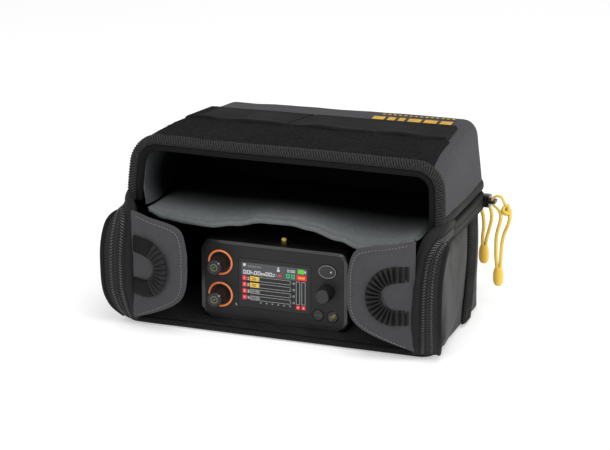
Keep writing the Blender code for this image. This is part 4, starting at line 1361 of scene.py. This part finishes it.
def build_pull(side, route, tip_top, knot_at, tail):
    """A cord loop on its slider, its knot and cut tail, and the moulded tip that closes it."""
    body = side + "_pull"
    points = smooth_path([Vector(p) * MM for p in route], 6)
    data = bpy.data.curves.new("cord_line_" + side, "CURVE")
    data.dimensions = "3D"
    data.bevel_depth = CORD_RADIUS
    data.bevel_resolution = 5
    data.use_fill_caps = True
    spline = data.splines.new("POLY")
    spline.points.add(len(points) - 1)
    for target, place in zip(spline.points, points):
        target.co = (*place, 1.0)
        target.radius = 1.0 - CORD_EASE * clamp((place.z - 0.088) / 0.006)
    data.materials.append(MATERIALS["cord"])
    line = bpy.data.objects.new("cord_line_" + side, data)
    bpy.context.scene.collection.objects.link(line)
    length = sum((b - a).length for a, b in zip(points, points[1:]))

    tip = build_tip("cord_tip_" + side, Vector(tip_top) * MM)
    centre = Vector(knot_at) * MM
    knot_parts = []
    for n, (tilt, size) in enumerate(((0.0, 3.6), (0.9, 3.4), (-0.8, 3.3))):
        turn = Matrix.Rotation(tilt, 3, "Y") @ Matrix.Rotation(0.4 * n, 3, "X")
        ring = []
        for i in range(20):
            a = 2 * math.pi * i / 20
            p = Vector((size * math.cos(a), size * math.sin(a), 0.9 * math.sin(2 * a + n))) * MM
            ring.append(centre + turn @ p + Vector((0, 0, (n - 1) * 1.1 * MM)))
        knot_parts.append(tube(ring, CORD_RADIUS, 10, closed=True))
    cut = smooth_path([centre + Vector(p) * MM for p in tail], 6)
    knot_parts.append(tube(cut, CORD_RADIUS, 10))
    knot = join("cord_knot_" + side, knot_parts, "cord", angle=60)
    for piece in (line, tip, knot):
        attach(piece, body)
    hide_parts("pull_cord_" + side)
    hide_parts("pull_tip_" + side)
    tuple(points[0])


def build_tip(name, top):
    rows = []
    levels = ((1.4, 2.2, 1.5), (0.6, 3.0, 2.0), (-0.6, 3.9, 2.6), (-3.0, 4.5, 3.0), (-7.0, 4.8, 3.2),
              (-11.0, 4.7, 3.1),
              (-14.0, 4.0, 2.7), (-15.6, 2.9, 1.9), (-16.3, 1.4, 0.9))
    for drop, half_x, half_y in levels:
        rows.append([top + Vector((half_x * math.cos(2 * math.pi * i / 24),
                                   half_y * math.sin(2 * math.pi * i / 24),
                                   drop)) * MM for i in range(24)])
    tip = join(name, [lattice(rows, closed_v=True, caps=True)], "tip", angle=80)
    subdivide(tip)
    return tip


# ---------------------------------------------------------------- recorder

def turned(profile, centre, segments, wave=None):
    """(points, faces) of a (radius, y) profile turned about a line along Y. wave(turn, k) adds radius."""
    rows = []
    for k, (radius, y) in enumerate(profile):
        row = []
        for i in range(segments):
            a = 2 * math.pi * i / segments
            r = radius + (wave(a, k) if wave else 0.0)
            row.append(Vector((centre[0] + r * math.cos(a), y, centre[1] + r * math.sin(a))))
        rows.append(row)
    return lattice(rows, closed_v=True, caps=True)


def middle_of(node):
    """The middle of a CAD node across and up, and the place of its front face."""
    low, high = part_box(node)
    return (low.x + high.x) / 2, (low.z + high.z) / 2, low.y


def oval(x, z, half_x, half_z, y, count):
    """Points round an oval that faces forward."""
    turns = [2 * math.pi * i / count for i in range(count)]
    return [Vector((x + half_x * math.cos(turn), y, z + half_z * math.sin(turn))) for turn in turns]


def knob(name, node, radius, body, marked):
    """A grippy knob with a fine ribbed skirt and a flat cap."""
    x, z, front = middle_of(node)
    centre, back = (x, z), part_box(node)[1].y
    profile = [(radius * 0.30, back), (radius * 0.97, back), (radius * 1.0, back - 0.6 * MM)]
    steps = 8
    for i in range(steps + 1):
        y = back - 1.2 * MM + (front + 1.9 * MM - back + 1.2 * MM) * i / steps
        profile.append((radius * (1.0 - 0.035 * i / steps), y))
    first, last = 3, 3 + steps
    profile += [(radius * 0.955, front + 1.3 * MM), (radius * 0.93, front + 0.5 * MM), (radius * 0.86, front),
                (radius * 0.80, front - 0.05 * MM), (radius * 0.74, front + 0.25 * MM),
                (radius * 0.3, front + 0.3 * MM)]

    def grip(turn, k):
        return 0.16 * MM * math.cos(30 * turn) if first <= k <= last else 0.0

    made = join(name, [turned(profile, centre, 120, grip)], "knob", angle=32)
    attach(made, body)
    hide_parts(node)
    if marked:
        build_cap_mark(name, centre, front + 0.2 * MM, radius, body)


def build_cap_mark(name, centre, y, radius, body):
    """A pale ring with a stroke across it, and a white notch at the cap's edge."""
    def at(a, r):
        return Vector((centre[0] + r * math.cos(a), y, centre[1] + r * math.sin(a)))
    ring = [at(2 * math.pi * i / 32, 2.9 * MM) for i in range(32)]
    parts = [tube(ring, 0.30 * MM, 6, closed=True)]
    parts.append(capsule(at(math.radians(52), 1.9 * MM), at(math.radians(232), 1.9 * MM), 0.30 * MM))
    parts.append(capsule(at(math.radians(140), 1.2 * MM), at(math.radians(150), 0.5 * MM), 0.28 * MM))
    mark = join(name + "_mark", parts, "olive_mark")
    notch = join(name + "_notch",
                 [capsule(at(math.radians(42), radius * 0.80), at(math.radians(42), radius * 0.97),
                                           0.75 * MM)], "mark")
    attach(mark, body)
    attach(notch, body)


class Tiles:
    """Flat shapes on the display, drawn as thin faces just in front of the glass."""

    def __init__(self, name, y):
        self.name, self.y = name, y
        self.points, self.faces, self.kinds, self.keys = [], [], [], []

    def quad(self, x0, z0, x1, z1, key, level=0):
        if key not in self.keys:
            self.keys.append(key)
        y = self.y - level * 0.012 * MM
        start = len(self.points)
        self.points += [Vector((x0 * MM, y, z0 * MM)), Vector((x1 * MM, y, z0 * MM)),
                        Vector((x1 * MM, y, z1 * MM)), Vector((x0 * MM, y, z1 * MM))]
        self.faces.append((start, start + 1, start + 2, start + 3))
        self.kinds.append(self.keys.index(key))

    def frame(self, x0, z0, x1, z1, line, key, level=0):
        self.quad(x0, z0, x1, z0 + line, key, level)
        self.quad(x0, z1 - line, x1, z1, key, level)
        self.quad(x0, z0 + line, x0 + line, z1 - line, key, level)
        self.quad(x1 - line, z0 + line, x1, z1 - line, key, level)

    def glyph(self, letter, x, z, size, key, level=0):
        """A character five cells high from plain strokes."""
        cell = size / 5
        for row, bits in enumerate(GLYPHS[letter]):
            for column, bit in enumerate(bits):
                if bit == "#":
                    left, top = x + column * cell, z + size - row * cell
                    self.quad(left, top - cell, left + cell, top, key, level)
        return x + (len(GLYPHS[letter][0]) + 0.8) * cell

    def text(self, letters, x, z, size, key, level=0):
        for letter in letters:
            x = self.glyph(letter, x, z, size, key, level)

    def build(self):
        mesh = bpy.data.meshes.new(self.name)
        mesh.from_pydata([tuple(p) for p in self.points], [], self.faces)
        for key in self.keys:
            mesh.materials.append(MATERIALS[key])
        for polygon, kind in zip(mesh.polygons, self.kinds):
            polygon.material_index = kind
        obj = bpy.data.objects.new(self.name, mesh)
        bpy.context.scene.collection.objects.link(obj)
        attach(obj, "bag")


GLYPHS = {
    "0": ("####", "#..#", "#..#", "#..#", "####"), "1": (".#.", "##.", ".#.", ".#.", "###"),
    "2": ("###", "..#", "###", "#..", "###"), "3": ("###", "..#", "###", "..#", "###"),
    "4": ("#.#", "#.#", "###", "..#", "..#"), "h": ("#...", "#...", "###.", "#..#", "#..#"),
    "m": (".....", ".....", "#####", "#.#.#", "#.#.#"), "s": ("...", ".##", "#..", "..#", "##."),
    ".": (".", ".", ".", ".", "#"), "-": ("...", "...", "###", "...", "..."),
}
SCREEN_LEFT, SCREEN_TOP = -36.5, 61.6
SCREEN_WIDTH, SCREEN_HEIGHT = 60.5, 39.5


def build_display():
    tiles = Tiles("display_picture", WINDOW[0].y - 0.03 * MM)

    def u(share):
        return SCREEN_LEFT + SCREEN_WIDTH * share

    def v(share):
        return SCREEN_TOP - SCREEN_HEIGHT * share

    tiles.quad(u(0), v(0.31), u(0.82), v(0.02), "ui_bar")
    tiles.quad(u(0.82), v(0.17), u(0.985), v(0.02), "ui_bar")
    for step in range(5):
        half = (0.75, 1.15, 1.3, 1.15, 0.75)[step]
        level = v(0.075) + (step - 2) * 0.52
        tiles.quad(u(0.045) - half, level - 0.27, u(0.045) + half, level + 0.27, "ui_white", 1)
    x = u(0.095)
    for width in (1.2, 0.9, 1.1, 1.3, 1.2, 0.0, 1.0, 0.4, 1.1):
        if width:
            tiles.quad(x, v(0.10) - 0.7, x + width, v(0.10) + 0.75, "ui_grey", 1)
        x += width + 0.45
    tiles.text("00h00m00s", u(0.028), v(0.280), 3.4, "ui_white", 1)
    tiles.quad(u(0.535), v(0.15), u(0.575), v(0.105), "ui_white", 1)
    tiles.quad(u(0.545), v(0.10), u(0.565), v(0.05), "ui_white", 1)
    tiles.text("1", u(0.52), v(0.26), 2.0, "ui_grey", 1)
    tiles.quad(u(0.555), v(0.26), u(0.60), v(0.215), "ui_red", 1)
    tiles.text("0.00", u(0.690), v(0.135), 2.2, "ui_white", 1)
    tiles.quad(u(0.845), v(0.145), u(0.94), v(0.045), "ui_lime", 2)
    tiles.quad(u(0.945), v(0.12), u(0.965), v(0.07), "ui_white", 2)
    for x0, x1 in ((0.67, 0.725), (0.745, 0.80)):
        tiles.quad(u(x0), v(0.275), u(x1), v(0.175), "ui_green", 1)
        tiles.quad(u(x0 + 0.018), v(0.25), u(x1 - 0.018), v(0.20), "ui_bar", 2)
    tiles.quad(u(0.825), v(0.295), u(0.975), v(0.175), "ui_red", 1)
    for n in range(4):
        tiles.quad(u(0.855 + 0.025 * n), v(0.26), u(0.870 + 0.025 * n), v(0.21), "ui_yellow", 2)
    build_meters(tiles, u, v)
    tiles.build()


def build_meters(tiles, u, v):
    for n in range(4):
        middle = 0.375 + 0.147 * n
        top, bottom = v(middle - 0.052), v(middle + 0.052)
        tiles.quad(u(0.015), bottom, u(0.078), top, "ui_red", 1)
        tiles.glyph(str(n + 1), u(0.034), v(middle + 0.025), 2.0, "ui_white", 2)
        tiles.glyph(str(n + 1), u(0.090), v(middle + 0.036), 2.6, "ui_white", 1)
        key = "ui_yellow" if n < 2 else "ui_grey"
        tiles.quad(u(0.128), bottom, u(0.262), top, key, 1)
        tiles.text("00", u(0.155), v(middle + 0.030), 2.2, "ui_bar", 2)
        tiles.frame(u(0.268), bottom + 0.1, u(0.735), top - 0.1, 0.34, "ui_line", 1)
        tiles.text("-0", u(0.752), v(middle + 0.026), 1.8, "ui_line", 1)
    for n in range(6):
        x = u(0.275 + 0.088 * n)
        tiles.quad(x, v(0.925), x + 1.6, v(0.890), "ui_grey", 1)
    for x0, x1 in ((0.818, 0.876), (0.900, 0.958)):
        tiles.frame(u(x0), v(0.845), u(x1), v(0.325), 0.40, "ui_line", 1)
        tiles.quad(u(x0 + 0.018), v(0.832), u(x1 - 0.018), v(0.340), "ui_black", 1)
        tiles.quad(u(x0), v(0.960), u(x1), v(0.868), "ui_red", 1)
        tiles.quad(u(x0 + 0.020), v(0.930), u(x1 - 0.020), v(0.898), "ui_white", 2)


def build_light_ring(number):
    x, z, front = middle_of("light_ring_" + number)
    low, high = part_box("light_ring_" + number)
    reach = (high.x - low.x) / 2 - 1.1 * MM
    path = oval(x, z, reach, reach, front + 0.6 * MM, 60)
    ring = join("glow_ring_" + number, [tube(path, 0.95 * MM, 10, closed=True)], "glow")
    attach(ring, "bag")
    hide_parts("light_ring_" + number)


def build_record_marks():
    """An oval line round the key with a dot at its right."""
    x, z, front = middle_of("record_button")
    y = front - 0.02 * MM
    ring = join("record_ring", [tube(oval(x, z, 7.5 * MM, 5.5 * MM, y, 48), 0.16 * MM, 6, closed=True)],
                "mark")
    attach(ring, "record_key")
    dot = [turned([(0.9 * MM, y + 0.1 * MM), (0.9 * MM, y - 0.05 * MM)], (x + 3.4 * MM, z), 20)]
    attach(join("record_dot", dot, "mark"), "record_key")


def build_menu_mark():
    """A row of four short dashes."""
    x, z, y = middle_of("menu_button")
    dashes = [capsule(Vector((x + (n - 1.5) * 1.6 * MM - 0.45 * MM, y, z)),
                      Vector((x + (n - 1.5) * 1.6 * MM + 0.45 * MM, y, z)), 0.36 * MM) for n in range(4)]
    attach(join("menu_mark", dashes, "olive_mark"), "menu_key")


def build_play_mark():
    """A triangle and two upright bars, with a slanting line between them."""
    x, z, y = middle_of("play_button")
    triangle = [Vector((x + a * MM, y, z + b * MM)) for a, b in ((-2.2, -0.3), (-2.2, -3.0), (0.2, -1.6))]
    parts = [tube(triangle, 0.34 * MM, 6, closed=True)]
    parts += [capsule(Vector((x + a * MM, y, z + 0.4 * MM)), Vector((x + a * MM, y, z + 2.6 * MM)), 0.38 * MM)
              for a in (0.8, 2.2)]
    line = Vector((x - 2.3 * MM, y, z + 1.0 * MM)), Vector((x + 2.3 * MM, y, z - 0.6 * MM))
    parts.append(capsule(*line, 0.26 * MM))
    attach(join("play_mark", parts, "yellow_mark"), "play_key")


def build_face_tick():
    tick = [capsule(Vector((-0.0420, FACE_Y, 0.0232)), Vector((-0.0408, FACE_Y, 0.0208)), 0.42 * MM)]
    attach(join("face_tick", tick, "mark"), "bag")


def build_lock_cap():
    """The small yellow slider's cap, its top edge rounded."""
    low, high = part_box("lock_slider")
    x, y, z = (low.x + high.x) / 2, (low.y + high.y) / 2, high.z
    rows = [plan_loop(1.9 * MM - inset, 1.15 * MM - inset, 0.5 * MM, z - 1.7 * MM + rise, 4, 3)
            for rise, inset in ((0.0, 0.0), (1.8 * MM, 0.0), (2.3 * MM, 0.25 * MM), (2.45 * MM, 0.6 * MM))]
    rows = [[p + Vector((x, y, 0)) for p in row] for row in rows]
    cap = join("lock_cap", [lattice(rows, closed_v=True, caps=True)], "tip", angle=35)
    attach(cap, "lock")


def build_recorder():
    knob("gain_grip_1", "gain_knob_1", 7.0 * MM, "gain_1", True)
    knob("gain_grip_2", "gain_knob_2", 7.0 * MM, "gain_2", True)
    knob("dial_grip", "encoder_knob", 6.8 * MM, "encoder_dial", False)
    build_display()
    build_light_ring("1")
    build_light_ring("2")
    build_record_marks()
    build_menu_mark()
    build_play_mark()
    build_face_tick()
    build_lock_cap()


CAD_LOOKS = {
    "case_front": "case", "case_rear": "case", "face_plate": "face", "display_window": "glass",
    "display_module": "ui_black", "record_button": "key", "menu_button": "key", "play_button": "key",
    "lock_slider": "tip", "main_board": "board", "battery": "cell", "zip_slider_side": "metal",
    "zip_slider_rear": "metal",
}


def finish_cad_nodes():
    """Gives every CAD node that is still shown a procedural finish."""
    for name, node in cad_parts.items():
        key = CAD_LOOKS.get(name, "steel")
        for n in range(len(node.data.materials)):
            node.data.materials[n] = MATERIALS[key]
        if not node.data.materials:
            node.data.materials.append(MATERIALS[key])


# ---------------------------------------------------------------- floor, light and camera

def build_stage():
    bpy.ops.mesh.primitive_plane_add(size=30.0, location=(0, 0, -0.0004))
    floor = bpy.context.object
    floor.name = "studio_floor"
    floor.data.materials.append(floor_material())
    world = bpy.data.worlds.new("studio")
    world.use_nodes = True
    world.node_tree.nodes["Background"].inputs[0].default_value = (1.0, 1.0, 1.0, 1.0)
    world.node_tree.nodes["Background"].inputs[1].default_value = 0.70
    bpy.context.scene.world = world


def floor_material():
    g = Graph("studio_floor", grey(0.75), 0.95, Emission_Strength=0.36, Specular_IOR_Level=0.0)
    g.shader.inputs["Emission Color"].default_value = (1.0, 1.0, 1.0, 1.0)
    g.place()
    g.use("Base Color", g.mix(g.noise(3.0), grey(0.74), grey(0.76)))
    return g.material


def area_light(name, place, target, size, power):
    data = bpy.data.lights.new(name, "AREA")
    data.shape = "RECTANGLE"
    data.size, data.size_y = size
    data.energy = power
    obj = bpy.data.objects.new(name, data)
    obj.location = place
    obj.rotation_euler = (Vector(target) - Vector(place)).to_track_quat("-Z", "Y").to_euler()
    bpy.context.scene.collection.objects.link(obj)


def build_lights():
    area_light("key", (0.35, -0.55, 1.30), (0, 0, 0.05), (0.9, 0.9), 9.0)
    area_light("side", (1.50, -0.10, 0.55), (0.05, 0, 0.08), (0.8, 0.8), 7.0)
    area_light("front", (-0.60, -1.70, 0.60), (0, 0, 0.06), (0.9, 0.6), 6.0)


def build_camera():
    data = bpy.data.cameras.new("camera")
    data.lens = 149.05
    data.sensor_width = 36.0
    camera = bpy.data.objects.new("camera", data)
    camera.location = (0.69907304, -1.95587456, 0.76118168)
    camera.rotation_euler = (math.radians(90 - 18.147), 0, math.radians(19.643))
    bpy.context.scene.collection.objects.link(camera)
    bpy.context.scene.camera = camera
    bpy.context.scene.view_settings.view_transform = "Standard"


def main():
    build_lower_shell()
    build_upstand()
    build_base()
    build_hood()
    build_hood_binding()
    build_top()
    build_hinge()
    build_flap()
    build_tab()
    for side, sign in (("left", -1), ("right", 1)):
        build_zip(side, sign)
        build_wing(side, sign)
        build_side_trim(side, sign)
        build_hem(side, sign)
    build_pull("side", SIDE_ROUTE, (157.5, 64.0, 38.2), (163.6, 62.4, 92.5),
               ((0.5, 0.0, 0.5), (2.8, -0.6, -2.5), (3.4, -0.8, -8.0), (1.6, -0.8, -14.5)))
    build_pull("rear", REAR_ROUTE, (138.0, 86.0, 49.7), (128.5, 92.4, 93.6),
               ((0.5, 0.0, 0.5), (2.2, 1.2, -3.0), (2.6, 1.6, -9.0), (1.8, 1.6, -15.0)))
    build_recorder()
    finish_cad_nodes()
    build_stage()
    build_lights()
    build_camera()


main()
